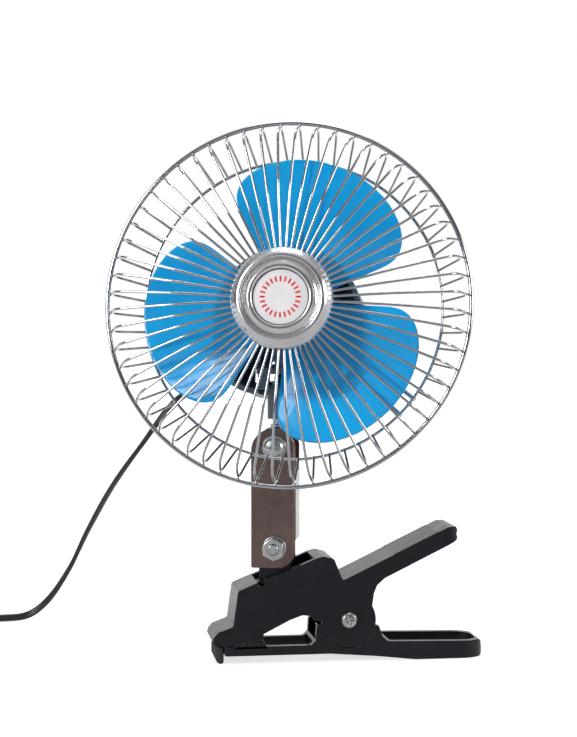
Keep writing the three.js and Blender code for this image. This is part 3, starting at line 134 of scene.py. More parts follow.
def evenly(line, count):
    """count + 1 points at equal steps along a line of points."""
    far = [0.0]
    for a, b in zip(line, line[1:]):
        far.append(far[-1] + (b - a).length)
    found, i = [], 0
    for k in range(count + 1):
        want = far[-1] * k / count
        while i < len(line) - 2 and far[i + 1] < want:
            i += 1
        share = (want - far[i]) / max(far[i + 1] - far[i], 1e-9)
        found.append(line[i].lerp(line[i + 1], min(max(share, 0), 1)))
    return found


def rounded(points, radius, steps=5, closed=False):
    """A line of points with its corners rounded: radius is one number or one for each corner."""
    points = [Vector(p) for p in points]
    count = len(points)
    radii = radius if isinstance(radius, (list, tuple)) else [radius] * count
    found = []
    for i, p in enumerate(points):
        if not closed and i in (0, count - 1) or radii[i] <= 0:
            found.append(p)
            continue
        before, after = points[i - 1] - p, points[(i + 1) % count] - p
        half = before.angle(after) / 2
        if half > math.radians(88) or half < 0.01:
            found.append(p)
            continue
        most = 0.48 * min(before.length, after.length)
        reach = min(radii[i] / math.tan(half), most)
        a, b = p + before.normalized() * reach, p + after.normalized() * reach
        for k in range(steps + 1):
            t = k / steps
            found.append(a.lerp(p, t).lerp(p.lerp(b, t), t))
    return found


def arc(cx, cy, radius, start, end, steps):
    """Points on an arc, its angles in degrees."""
    turns = [math.radians(start + (end - start) * i / steps) for i in range(steps + 1)]
    return [(cx + radius * math.cos(a), cy + radius * math.sin(a)) for a in turns]


def circle(radius, sides):
    turns = [2 * math.pi * k / sides for k in range(sides)]
    return [(radius * math.cos(a), radius * math.sin(a)) for a in turns]


def rounded_rect(x0, x1, y0, y1, radii, steps=8):
    r0, r1, r2, r3 = radii
    return [
        *arc(x0 + r0, y0 + r0, r0, 180, 270, steps),
        *arc(x1 - r1, y0 + r1, r1, 270, 360, steps),
        *arc(x1 - r2, y1 - r2, r2, 0, 90, steps),
        *arc(x0 + r3, y1 - r3, r3, 90, 180, steps),
    ]


# ------------------------------------------------------------------ meshes


def mesh_of(points, faces, melt=False):
    """A mesh with doubled points merged and its faces outwards; melt also takes thin faces out."""
    mesh = bpy.data.meshes.new("shape")
    mesh.from_pydata([tuple(p) for p in points], [], faces)
    work = bmesh.new()
    work.from_mesh(mesh)
    bmesh.ops.remove_doubles(work, verts=work.verts, dist=MERGE)
    if melt:
        bmesh.ops.dissolve_degenerate(work, dist=MERGE, edges=work.edges)
    bmesh.ops.recalc_face_normals(work, faces=work.faces)
    work.to_mesh(mesh)
    work.free()
    return mesh


def put(mesh, *moves):
    """The mesh itself, moved by each matrix in turn."""
    for move in moves:
        mesh.transform(move)
    return mesh


def prism(points, low, high, axis="z"):
    """An outline given its height: a plan in X and Y, or with axis "y" a side view in X and Z."""
    count = len(points)
    if axis == "z":
        ends = [(x, y, h) for h in (low, high) for x, y in points]
    else:
        ends = [(x, h, y) for h in (low, high) for x, y in points]
    faces = [list(range(count)), list(range(2 * count - 1, count - 1, -1))]
    for i in range(count):
        j = (i + 1) % count
        faces.append([i, j, count + j, count + i])
    return mesh_of(ends, faces)


def block(x0, x1, y0, y1, z0, z1):
    return prism([(x0, y0), (x1, y0), (x1, y1), (x0, y1)], z0, z1)


def rod(axis, radius, low, high, at=(0, 0, 0), sides=64):
    """A cylinder along axis "z" or "y"."""
    mesh = prism(circle(radius, sides), low, high)
    if axis == "y":
        mesh.transform(turned_about("X", -90))
    return put(mesh, moved(*at))


def lathe(profile, segments=128):
    """A closed profile of (radius, station) turned about Z."""
    rows = [(max(r, 0.0), z) for r, z in profile]
    points, faces, count = [], [], len(rows)
    for i in range(segments):
        a = 2 * math.pi * i / segments
        points += [(r * math.cos(a), r * math.sin(a), z) for r, z in rows]
    for i in range(segments):
        for k in range(count):
            a, b = i * count + k, i * count + (k + 1) % count
            step = count if i < segments - 1 else -i * count
            if rows[k][0] > 1e-9 or rows[(k + 1) % count][0] > 1e-9:
                faces.append([a, b, b + step, a + step])
    return mesh_of(points, faces, melt=True)


def soft_lathe(profile, radius=0.3, segments=128, steps=4):
    """A closed profile turned about Z with its corners rounded, apart from those on the axis."""
    radii = [0 if r < 1e-6 else radius for r, _ in profile]
    line = rounded([(r, z, 0) for r, z in profile], radii, steps, closed=True)
    return lathe([(p.x, p.y) for p in line], segments)


def sweep(line, section, wide=None, closed=False):
    """A section of (across, up) carried along a line. wide(i, tangent) gives its across direction."""
    count, around = len(line), len(section)
    points, faces = [], []
    side = None
    for i, p in enumerate(line):
        before = line[i - 1] if i or closed else p
        after = line[(i + 1) % count] if i < count - 1 or closed else p
        tangent = (after - before).normalized()
        if wide:
            side = wide(i, tangent)
        elif side is None:
            side = tangent.orthogonal()
        side = (side - tangent * side.dot(tangent)).normalized()
        up = tangent.cross(side)
        points += [p + side * u + up * v for u, v in section]
    for i in range(count if closed else count - 1):
        j = (i + 1) % count
        for k in range(around):
            m = (k + 1) % around
            faces.append([i * around + k, i * around + m, j * around + m, j * around + k])
    if not closed:
        faces.append(list(range(around)))
        faces.append([(count - 1) * around + k for k in reversed(range(around))])
    return mesh_of(points, faces)


def ring(radius, station, thick, around=240, sides=12):
    line = [Vector((*p, station)) for p in arc(0, 0, radius, 0, 360, around)[:-1]]
    return sweep(line, circle(thick / 2, sides), closed=True)


def together(*meshes):
    """Several meshes as one, without joining their surfaces."""
    all_in = bmesh.new()
    for mesh in meshes:
        all_in.from_mesh(mesh)
    result = bpy.data.meshes.new("shape")
    all_in.to_mesh(result)
    all_in.free()
    return result


def copied(mesh, *turns):
    """One copy of the mesh for each matrix, as one mesh."""
    return together(*[put(mesh.copy(), turn) for turn in turns])


def around(mesh, count, first=0.0):
    """Copies of the mesh evenly about Z, the first one turned by first degrees."""
    return copied(mesh, *[turned_about("Z", first + 360 * k / count) for k in range(count)])


def combine(a, b, operation):
    pair = [bpy.data.objects.new(name, mesh) for name, mesh in (("first", a), ("second", b))]
    for one in pair:
        scene.collection.objects.link(one)
    work = pair[0].modifiers.new("work", "BOOLEAN")
    work.object, work.operation, work.solver = pair[1], operation, "EXACT"
    graph = bpy.context.evaluated_depsgraph_get()
    result = bpy.data.meshes.new_from_object(pair[0].evaluated_get(graph))
    for one in pair:
        bpy.data.objects.remove(one)
    return result


def cut(body, *tools):
    for tool in tools:
        body = combine(body, tool, "DIFFERENCE")
    return body


def join(body, *more):
    for one in more:
        body = combine(body, one, "UNION")
    return body


def meet(a, b):
    return combine(a, b, "INTERSECT")


def soften(mesh, width, segments=2, angle=30):
    """Rounds the sharp edges of a mesh."""
    work = bmesh.new()
    work.from_mesh(mesh)
    bmesh.ops.remove_doubles(work, verts=work.verts, dist=SMALL)
    bmesh.ops.dissolve_degenerate(work, dist=SMALL, edges=work.edges)
    bmesh.ops.dissolve_limit(work, angle_limit=math.radians(0.6), verts=work.verts, edges=work.edges)
    least = math.radians(angle)
    sharp = [e for e in work.edges if len(e.link_faces) == 2 and e.calc_face_angle(0) > least]
    bmesh.ops.bevel(work, geom=sharp, offset=width, offset_type="OFFSET", segments=segments,
                    profile=0.5, affect="EDGES", clamp_overlap=True)
    result = bpy.data.meshes.new("shape")
    work.to_mesh(result)
    work.free()
    return result


def even_normals(piece):
    piece.modifiers.new("even_normals", "WEIGHTED_NORMAL").keep_sharp = True


def place(name, mesh, at, body, finish, stands_for, smooth=35):
    """Puts a mesh into the scene as a piece of the fan. One without a body is left unattached."""
    slot, material = finish
    mesh = mesh.copy()
    mesh.name = name
    mesh.transform(Matrix.Scale(MM, 4))
    mesh.shade_smooth()
    mesh.set_sharp_from_angle(angle=math.radians(smooth))
    mesh.materials.clear()
    mesh.materials.append(material)
    piece = bpy.data.objects.new(name, mesh)
    scene.collection.objects.link(piece)
    piece.matrix_world = Matrix.Translation(at.translation * MM) @ at.to_3x3().to_4x4()
    even_normals(piece)
    if body:
        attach(piece, body)
    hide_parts(stands_for)
    return piece


# ------------------------------------------------------------------ materials


class Graph:
    """Shader nodes, each input given as a value or as another node's output."""

    def __init__(self, tree):
        self.nodes, self.links = tree.nodes, tree.links

    def add(self, kind, inputs=None, **settings):
        node = self.nodes.new("ShaderNode" + kind)
        for name, value in settings.items():
            setattr(node, name, value)
        for socket, value in (inputs or {}).items():
            if isinstance(value, bpy.types.NodeSocket):
                self.links.new(value, node.inputs[socket])
            else:
                node.inputs[socket].default_value = value
        return node

    def math(self, operation, a, b=0.0):
        return self.add("Math", {0: a, 1: b}, operation=operation).outputs[0]

    def ramp(self, value, low, high, to_low=0.0, to_high=1.0, **settings):
        inputs = {"Value": value, "From Min": low, "From Max": high, "To Min": to_low, "To Max": to_high}
        return self.add("MapRange", inputs, **settings).outputs[0]


class Look(Graph):
    """A material under construction: a Principled shader and the nodes wired to it."""

    def __init__(self, name, color, roughness, metallic=0.0, **sockets):
        self.material = bpy.data.materials.new(name)
        self.material.use_nodes = True
        super().__init__(self.material.node_tree)
        self.shader = self.nodes["Principled BSDF"]
        values = {"Base Color": (*color, 1), "Roughness": roughness, "Metallic": metallic, **sockets}
        for socket, value in values.items():
            self.shader.inputs[socket.replace("_", " ")].default_value = value
        self.place = self.add("TexCoord").outputs["Object"]
        self.soft = None

    def stretched(self, scale):
        return self.add("Mapping", {"Vector": self.place, "Scale": scale}).outputs[0]

    def noise(self, scale, detail=3.0, rough=0.55, vector=None):
        inputs = {"Vector": vector or self.place, "Scale": scale, "Detail": detail, "Roughness": rough}
        return self.add("TexNoise", inputs).outputs["Fac"]

    def mix(self, share, a, b):
        a, b = (c if isinstance(c, bpy.types.NodeSocket) else (*c, 1) for c in (a, b))
        return self.add("Mix", {0: share, 6: a, 7: b}, data_type="RGBA").outputs[2]

    def tinge(self, shade, mask, amount, color):
        """Lays a colour over shade by amount where the mask is 1."""
        return self.mix(self.math("MULTIPLY", mask, amount), shade, color)

    def edges(self, radius):
        """Rounds the shading at edges, and returns a mask that is 1 on an edge and 0 away from it."""
        self.soft = self.add("Bevel", {"Radius": radius}, samples=6).outputs[0]
        flat = self.add("NewGeometry").outputs["Normal"]
        dot = self.add("VectorMath", {0: self.soft, 1: flat}, operation="DOT_PRODUCT")
        return self.ramp(dot.outputs["Value"], 0.995, 0.9)

    def bump(self, height, strength, distance):
        inputs = {"Strength": strength, "Distance": distance, "Height": height}
        if self.soft:
            inputs["Normal"] = self.soft
        self.soft = self.add("Bump", inputs).outputs[0]

    def done(self, color, roughness):
        for socket, value in (("Base Color", color), ("Roughness", roughness), ("Normal", self.soft)):
            self.links.new(value, self.shader.inputs[socket])
        return self.material


def tinted(color, share):
    return tuple(min(c * share, 1.0) for c in color)


def plastic(name, color, roughness, grain=0.03, edge=0.0004, scuff=0.1, **sockets):
    """Moulded plastic: fine grain, uneven gloss, worn edges and a few light scuffs."""
    look = Look(name, color, roughness, **sockets)
    worn = look.edges(edge)
    broad = look.noise(38, 4)
    fine = look.noise(2600, 2)
    scratch = look.noise(1, 3, 0.7, look.stretched((60, 900, 240)))
    marks = look.ramp(scratch, 0.66, 0.74, 0, 1)
    shade = look.mix(look.ramp(broad, 0.3, 0.7), tinted(color, 0.8), tinted(color, 1.25))
    rubbed = look.math("MULTIPLY", worn, look.ramp(look.noise(260, 4), 0.42, 0.62))
    light = tuple(c + scuff for c in color)
    shade = look.tinge(shade, rubbed, 0.5, light)
    shade = look.tinge(shade, marks, 0.22, light)
    gloss = look.ramp(look.noise(110, 5, 0.65), 0.25, 0.75, roughness * 0.78, roughness * 1.25)
    look.bump(fine, grain * 8, 0.00006)
    look.bump(scratch, 0.08, 0.0001)
    return look.done(shade, gloss)


def metal(name, color, roughness, lines=(900, 900, 900)):
    """Plated or bare metal: mottled plating, uneven polish and fine drawing lines."""
    look = Look(name, color, roughness, 1.0)
    worn = look.edges(0.00025)
    broad = look.noise(130, 5, 0.6)
    fine = look.noise(1, 3, 0.6, look.stretched(lines))
    shade = look.mix(look.ramp(broad, 0.3, 0.7), tinted(color, 0.75), color)
    shade = look.tinge(shade, worn, 0.6, tinted(color, 1.2))
    specks = look.ramp(look.noise(1400, 2), 0.68, 0.76)
    shade = look.tinge(shade, specks, 0.35, tinted(color, 0.45))
    gloss = look.ramp(fine, 0.3, 0.7, roughness * 0.65, roughness * 1.45)
    look.bump(fine, 0.12, 0.00004)
    look.bump(look.noise(320, 3), 0.06, 0.0002)
    return look.done(shade, gloss)


def chrome_look(name, color, rough, turned=False):
    """Bright plating: nearly a mirror, with polishing marks and a faint haze in patches."""
    look = Look(name, color, rough, 1.0)
    haze = look.noise(90, 4, 0.6)
    shade = look.mix(look.ramp(haze, 0.35, 0.7), color, tinted(color, 0.84))
    pits = look.ramp(look.noise(1700, 2), 0.71, 0.78)
    shade = look.tinge(shade, pits, 0.5, (0.18, 0.17, 0.16))
    if turned:
        x, y, z = look.add("SeparateXYZ", {0: look.place}).outputs
        out = look.math("SQRT", look.math("ADD", *[look.math("POWER", way, 2.0) for way in (x, y)]))
        polar = look.add("CombineXYZ", {0: out, 1: look.math("MULTIPLY", z, 0.5)})
        marks = look.noise(4200, 2, 0.6, polar.outputs[0])
    else:
        marks = look.noise(1100, 3, 0.6)
    gloss = look.math("ADD", look.ramp(marks, 0.3, 0.8, rough * 0.5, rough * 1.7),
                      look.ramp(haze, 0.45, 0.75, 0, 0.07))
    look.bump(marks, 0.05, 0.00003)
    return look.done(shade, gloss)


# Each finish is a slot name and its material
BLACK = ("black_plastic", plastic(
    "black_moulding", (0.0065, 0.006, 0.0082), 0.27, scuff=0.06,
    Specular_IOR_Level=0.33, Specular_Tint=(0.9, 0.9, 1, 1)))
COVER = ("dark_plastic", plastic("grey_moulding", (0.08, 0.088, 0.098), 0.4, scuff=0.12))
WHITE = ("white_plastic", plastic("white_moulding", (0.78, 0.76, 0.70), 0.42, scuff=0.0))
RUBBER = ("soft_rubber", plastic("rubber", (0.012, 0.012, 0.012), 0.78, grain=0.06, scuff=0.03))
CORD = ("cord_sheath", plastic(
    "cord_sheath", (0.012, 0.0115, 0.012), 0.34, grain=0.02, edge=0.0002, scuff=0.03))
CHROME = ("chrome_wire", chrome_look("chrome_wire", (0.62, 0.625, 0.635), 0.10))
CAP_CHROME = ("chrome_pressing", chrome_look(
    "chrome_pressing", (0.86, 0.85, 0.875), 0.21, turned=True))
ZINC = ("zinc", metal("zinc_plate", (0.66, 0.67, 0.67), 0.27))
STEEL = ("steel", metal("bare_steel", (0.50, 0.51, 0.53), 0.30, lines=(300, 2400, 300)))
SPRING = ("spring_steel", metal("spring_steel", (0.36, 0.36, 0.37), 0.28, lines=(400, 2400, 400)))
BRASS = ("brass", metal("brass", (0.62, 0.44, 0.19), 0.28))
MAGNET = ("magnet", metal("ferrite", (0.07, 0.07, 0.075), 0.6))


def bronze_look():
    """A dark bronze lacquer over pressed steel: glossy coat, faint grain below, and edges lightened partly
    as worn lacquer and partly as a painted highlight.
    """
    color = (0.155, 0.098, 0.088)
    look = Look("bronze_lacquer", color, 0.3, 0.85, Coat_Weight=0.6, Coat_Roughness=0.07)
    worn = look.edges(0.0005)
    broad = look.noise(55, 5, 0.6)
    grain = look.noise(1, 3, 0.6, look.stretched((2600, 2600, 90)))
    shade = look.mix(look.ramp(broad, 0.32, 0.68), tinted(color, 0.74), tinted(color, 1.22))
    shade = look.mix(look.ramp(grain, 0.35, 0.75, 0, 0.3), shade, (0.25, 0.18, 0.16))
    # Edges lightened towards pale grey: partly lacquer worn through, partly a painted highlight along the
    # edges
    worn_and_highlit_edge = look.math("MULTIPLY", worn, look.ramp(look.noise(420, 4), 0.4, 0.62))
    shade = look.tinge(shade, worn_and_highlit_edge, 0.7, (0.55, 0.52, 0.50))
    gloss = look.ramp(look.noise(180, 4), 0.3, 0.7, 0.20, 0.38)
    look.bump(grain, 0.06, 0.00005)
    look.bump(look.noise(150, 2), 0.05, 0.0004)
    return look.done(shade, gloss)


def blade_look():
    """Clear blue polystyrene: light passes through, and moulding swirls cloud it a little."""
    color = (0.005, 0.30, 0.82)
    look = Look("blue_blade", color, 0.16, 0.0, IOR=1.46, Transmission_Weight=0.6,
                Specular_IOR_Level=0.35, Coat_Weight=0.08, Coat_Roughness=0.08)
    swirl = look.noise(22, 4, 0.6)
    shade = look.mix(look.ramp(swirl, 0.3, 0.72), (0.005, 0.33, 0.69), (0.008, 0.43, 0.83))
    dust = look.ramp(look.noise(900, 4, 0.7), 0.62, 0.8, 0, 0.08)
    shade = look.mix(dust, shade, (0.25, 0.45, 0.75))
    gloss = look.ramp(look.noise(160, 4), 0.3, 0.75, 0.07, 0.22)
    look.bump(look.noise(34, 2), 0.12, 0.0009)
    look.bump(look.noise(700, 3), 0.03, 0.0001)
    return look.done(shade, gloss)


def pearl_look():
    """Pearl lacquer: tiny flakes under a clear coat."""
    look = Look("pearl_badge", (0.64, 0.61, 0.62), 0.34, 0.0, Coat_Weight=0.8, Coat_Roughness=0.04,
                Sheen_Weight=0.12)
    flake = look.noise(5200, 1)
    cloud = look.noise(170, 3)
    shade = look.mix(look.ramp(cloud, 0.3, 0.7), (0.62, 0.59, 0.61), (0.68, 0.65, 0.65))
    shade = look.mix(look.ramp(flake, 0.6, 0.75, 0, 0.35), shade, (0.52, 0.50, 0.54))
    gloss = look.ramp(flake, 0.35, 0.75, 0.42, 0.22)
    look.bump(cloud, 0.04, 0.0002)
    return look.done(shade, gloss)


def enamel_look():
    look = Look("red_enamel", (0.62, 0.02, 0.018), 0.22, 0.0, Coat_Weight=0.5)
    tone = look.noise(800, 3)
    shade = look.mix(look.ramp(tone, 0.3, 0.7), (0.52, 0.016, 0.015), (0.70, 0.028, 0.022))
    gloss = look.ramp(tone, 0.3, 0.7, 0.16, 0.3)
    look.bump(tone, 0.08, 0.00005)
    return look.done(shade, gloss)


BRONZE = ("bronze_lacquer", bronze_look())
BLADE = ("blue_blade", blade_look())
PEARL = ("pearl_badge", pearl_look())
ENAMEL = ("pearl_badge", enamel_look())

# ------------------------------------------------------------------ cord, coil and plug

CORD_WIDE = 4.0
CORD_THICK = 2.5
OUTLET = AXIS @ Vector((-15, -11, -54))
OUTWARD = -(AXIS.to_3x3() @ Vector((0, 0, 1)))
COIL_AT = Vector((-222, 92, 0))
COIL_TURNS = 6
COIL_INNER = 15.5
COIL_STEP = 5.2  # between turns, and between the two layers
COIL_FLOOR = 3.2


def on_clip(points):
    return [CLIP @ Vector(p) for p in points]


def twin_section():
    """Two round cores side by side in one sheath, joined by a web."""
    half = CORD_THICK / 2
    centre = CORD_WIDE / 2 - half
    right = [(centre + half * math.cos(a), half * math.sin(a))
             for a in (math.radians(-125 + 25 * k) for k in range(11))]
    return [*right, *[(-x, -y) for x, y in right]]


def flex(name, line, turn, body, stands_for, first=0.0, last=1.0):
    """A stretch of twin flex, turned by turn(share) degrees from first to last: 90 is on edge."""
    steps = len(line) - 1

    def across(i, tangent):
        side = tangent.cross(Vector((0, 0, 1))).normalized()
        a = math.radians(turn(first + (last - first) * i / steps))
        return side * math.cos(a) + side.cross(tangent) * math.sin(a)

    mesh = sweep(line, twin_section(), across)
    return place(name, mesh, WORLD, body, CORD, stands_for, smooth=60)


fall_points = on_clip([
    (-45, 66, 141), (-62, 63, 136), (-80.9, 52, 125.9), (-98.8, 60, 101.8), (-112.8, 78, 79),
    (-125, 98, 53.5), (-135.7, 110, 29.6), (-147.8, 119, 11), (-158, 122, 3.4),
    (-173.2, 120, 2.3), (-190, 120, 2.5), (-212, 121.8, 3.2), (-217.7, 121.8, 3.2),
])
bend_out = rounded([OUTLET + OUTWARD * 6, OUTLET + OUTWARD * 20, fall_points[0]], [0, 12, 0], 4)
fall = [OUTLET - OUTWARD * 2, *centripetal([*bend_out[:-1], *fall_points], 300)]
fall_even = evenly(fall, 300)

# Each stretch of the fall: the bodies on either side of the joint it crosses, and its first and last point
CHAIN = [
    ("head", "neck", 0, 44), ("neck", "bracket", 44, 84), ("bracket", "swivel", 84, 124),
    ("swivel", "upper_jaw", 124, 164), ("upper_jaw", "clip_base", 164, 210),
]


def fall_turn(share):
    """The flex stands on edge at both ends and twists between them."""
    return 90 - 70 * math.sin(math.pi * min(max(share, 0), 1)) ** 2


def add_cord():
    last = len(fall_even) - 1
    for k, (a, b, start, end) in enumerate(CHAIN):
        line = fall_even[start : end + 1]
        name = f"cord_stretch_{k + 1}"
        piece = flex(name, line, fall_turn, None, "cord", start / last, end / last)
        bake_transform(piece)
    start = CHAIN[-1][3]
    line = fall_even[start:]
    flex("cord_on_table", line, fall_turn, "clip_base", "cord", start / last)


def coil_line():
    """The wound turns: in on the table, up a layer, and out again on top."""
    steps, middle = 40, COIL_TURNS / 2
    found = []
    for i in range(COIL_TURNS * steps + 1):
        turn = i / steps
        radius = COIL_INNER + COIL_STEP * (max(abs(turn - middle), 0.25) - 0.25)
        t = min(max((turn - middle + 0.25) / 0.5, 0), 1)
        climb = t * t * (3 - 2 * t)
        angle = math.radians(90 + turn * 360)
        found.append(COIL_AT + Vector((radius * math.cos(angle), radius * math.sin(angle),
                                       COIL_FLOOR + climb * COIL_STEP)))
    lead = Vector((4, 0, 0))
    return on_clip([found[0] + lead, *found, found[-1] - lead])


def add_coil():
    line = coil_line()
    flex("cord_coil_turns", line, lambda share: 90, "clip_base", "cord_coil")
    add_tie()


def add_tie():
    """A twisted tie round the turns: a flat strip with its two ends turned together."""
    half, top, t = 9.9, 10.7, 0.9
    middle = 22.2
    loop = [(-half - t / 2, 1.0), (half + t / 2, 1.0), (half + t / 2, top + t / 2),
            (-half - t / 2, top + t / 2)]
    line = rounded([(x, 0, max(z, 0.5)) for x, z in loop], 2.6, 6, closed=True)
    strip = [(-2.5, -0.35), (2.5, -0.35), (2.5, 0.35), (-2.5, 0.35)]
    band = sweep(line, strip, lambda i, tangent: Vector((0, 1, 0)), closed=True)
    ends = []
    for side in (-1, 1):
        twist = [Vector((side * (0.55 * math.cos(k * 0.9)), 0.55 * math.sin(k * 0.9) * side,
                         top + t / 2 + k * 0.22)) for k in range(10)]
        ends.append(sweep(twist, circle(0.6, 10)))
    at = CLIP @ moved(*COIL_AT) @ turned_about("Z", 205) @ moved(middle, 0, 0)
    place("coil_tie_strip", together(band, *ends), at, "clip_base", RUBBER, "coil_tie", smooth=50)


def add_tail():
    tail = [(-232, 121.8, 8.4), (-246, 119, 4.6), (-261, 113, 2.6), (-270, 101, 2.6),
            (-272, 88, 5.5), (-272, 76, 9.8), (-272, 76, 10.5)]
    line = on_clip([(-226.3, 121.8, 8.4)]) + centripetal(on_clip(tail), 90)
    line.append(CLIP @ Vector((-272, 61, 10.5)))
    line = evenly(line, 110)
    piece = flex("cord_tail_flex", line, lambda share: 90 - 90 * min(share * 1.4, 1) ** 2,
                 "clip_base", "cord_tail")
    shell = add_plug()


def add_plug():
    r, long = 10.5, 52
    profile = [
        (2.3, -9), (3.0, -9), (4.1, -1), (r - 1.7, 0.4), (r, 2.4), (r, 22), (r - 1.4, 24),
        (r - 1.4, long - 8), (r - 3.4, long - 5), (3.9, long - 5), (3.9, long - 16), (3, long - 16),
        (3, 3), (2.3, 3),
    ]
    shell = soft_lathe(profile, 0.7, 96)
    pockets = [
        block(min(s * (r - 4), s * (r + 1)), max(s * (r - 4), s * (r + 1)), -2.4, 2.4, 29.7, 44.3)
        for s in (-1, 1)
    ]
    grips = around(block(r - 0.55, r + 1, -0.5, 0.5, 5, 19), 24, 7.5)
    shell = soften(cut(shell, *pockets, grips), 0.18, 2)
    piece = place("plug_shell", shell, PLUG, "clip_base", BLACK, "plug_body")
    tip = [(0, 41), (3.6, 41), (3.6, long - 1.6), (2.9, long - 1), (2.2, long + 0.2), (1, long + 0.5),
           (0, long + 0.5)]
    place("plug_tip_pin", soft_lathe(tip, 0.4, 64), PLUG, "tip", ZINC, "plug_tip")
    return piece


# ------------------------------------------------------------------ guard

RIM_FORWARD = 46
GUARD_RADIUS = 87.9
RIM_WIRE = 2.1
RIM_CENTRE = GUARD_RADIUS - RIM_WIRE / 2
REAR_RING = 72.8
RING_WIRE = 1.5
HUB_RING = 21.5
GUARD_WIRE = 1.25
WIRES = 60
LEG_WIRE = 2.2
LEG_FOOT = 23  # the leg screws' distance from the axis
LEG_FIRST = 80  # degrees
LEG_SCREW = 18.7  # station under their heads
PLATE_BACK = 14.3
PLATE_FRONT = 15.9
WIRE_OUT = RIM_CENTRE - RIM_WIRE / 2 - GUARD_WIRE / 2 + 0.6
REAR_STATION = RIM_FORWARD - 22
HUB_STATION = RIM_FORWARD + 19 - 1.2
FRONT_FACE = RIM_FORWARD + 19 + GUARD_WIRE / 2


def guard_wire():
    """One wire in radius and station: hub ring, dome, hairpin at the rim, rear ring."""
    side = [
        (HUB_RING - 1.2, HUB_STATION + 0.2), (50, RIM_FORWARD + 19), (WIRE_OUT - 5, RIM_FORWARD + 13),
        (WIRE_OUT, RIM_FORWARD - 1.5), (REAR_RING - 0.4, REAR_STATION - 0.3),
    ]
    line = rounded([(r, 0, z) for r, z in side], [0, 60, 9, 12, 0], 8)
    return sweep(line, circle(GUARD_WIRE / 2, 10), lambda i, tangent: Vector((0, 1, 0)))


def beads(radius, station, size):
    """Small weld beads where the wires meet a ring."""
    bead = soft_lathe([(0, -size), (size * 0.75, -size * 0.7), (size, 0), (size * 0.75, size * 0.7),
                       (0, size)], size * 0.4, 10, 2)
    turns = [2 * math.pi * (i + 0.5) / WIRES for i in range(WIRES)]
    return copied(bead, *[moved(radius * math.cos(a), radius * math.sin(a), station) for a in turns])


def add_guard():
    wires = put(around(guard_wire(), WIRES, 180 / WIRES), AXIS)
    place("guard_wires", wires, WORLD, "head", CHROME, "guard", smooth=60)
    rings = together(
        ring(RIM_CENTRE, RIM_FORWARD, RIM_WIRE, 360, 14),
        ring(REAR_RING, REAR_STATION, RING_WIRE, 300, 12),
        ring(HUB_RING, HUB_STATION, RING_WIRE, 120, 12),
        beads(RIM_CENTRE - 1.2, RIM_FORWARD - 0.6, 0.75),
        beads(REAR_RING, REAR_STATION - 0.2, 0.85),
    )
    place("guard_rings", put(rings, AXIS), WORLD, "head", CHROME, "guard", smooth=60)


def add_leg(number):
    """A leg of two wires and a tab, from the mount plate to the rear ring, and its screw."""
    at = AXIS @ turned_about("Z", LEG_FIRST + 120 * (number - 1))
    foot, under = PLATE_FRONT + GAP + LEG_WIRE / 2, REAR_STATION - 0.75 - LEG_WIRE / 2 - GAP
    lines = []
    for side in (-1, 1):
        line = rounded([
            (19.5, side * 2.2, foot), (29, side * 2.2, foot), (37, side * 3.5, under - 3),
            (REAR_RING - 1, side * 5, under), (REAR_RING + 0.7, side * 5, under + 0.5),
        ], [0, 6, 8, 5, 0], 6)
        lines.append(sweep(line, circle(LEG_WIRE / 2, 12)))
    tab = prism(rounded_rect(18, 28, -4, 4, (2, 2, 2, 2)), foot - 1.05, foot + 1.05)
    tab = soften(cut(tab, rod("z", 1.9, 0, 60, (LEG_FOOT, 0, 0), 24)), 0.3)
    place(f"guard_wires_{number}", together(tab, *lines), at, "head", CHROME, f"guard_leg_{number}",
          smooth=50)
    head = put(pan_head(3.1, 1.9, 0.7, 1.0), moved(LEG_FOOT, 0, LEG_SCREW))
    shank = put(thread(1.6, -2.2, 3.2, 0.7, 0.2), moved(LEG_FOOT, 0, LEG_SCREW - 3))
    place(f"leg_screw_steel_{number}", together(head, shank), at, "head", ZINC, f"leg_screw_{number}")


def pan_head(radius, height, slot, deep):
    """A pan head standing on Z = 0 with a cross recess."""
    dome = [(0, 0), (radius, 0), (radius, height * 0.45), (radius * 0.8, height * 0.85),
            (radius * 0.4, height), (0, height)]
    head = soft_lathe(dome, 0.5, 64)
    long, half, low, high = radius * 0.56, slot / 2, height - deep, height + 3
    bars = [block(-long, long, -half, half, low, high), block(-half, half, -long, long, low, high)]
    return soften(cut(head, *bars), 0.12, 2, 40)


def thread(radius, low, high, pitch, depth):
    """A screw's shank in rings, with a bevelled end at low."""
    tip = 0.6
    rows = [(0, low), (radius - depth - tip * 0.4, low)]
    z = low + tip
    while z + pitch < high:
        rows += [(radius - depth, z), (radius, z + pitch * 0.35), (radius, z + pitch * 0.6),
                 (radius - depth, z + pitch * 0.95)]
        z += pitch
    rows += [(radius - depth, high), (0, high)]
    return lathe(rows, 40)


def hex_piece(across, low, high, bore=0.0, chamfer=(True, True)):
    """A hexagon nut or head along Z with turned chamfers at its low and high end."""
    corner = across / math.sqrt(3)
    outside = corner + 1
    drop = (corner - across / 2) * 0.75 * 1.9
    (r0, d0), (r1, d1) = [(across / 2 * 0.97, drop) if end else (outside, 0) for end in chamfer]
    envelope = lathe([(0, low), (r0, low), (outside, low + d0), (outside, high - d1), (r1, high),
                      (0, high)], 96)
    shape = meet(rod("z", corner, low, high, sides=6), envelope)
    if bore:
        shape = cut(shape, rod("z", bore, low - 1, high + 1, sides=48))
    return soften(shape, 0.15, 2, 25)


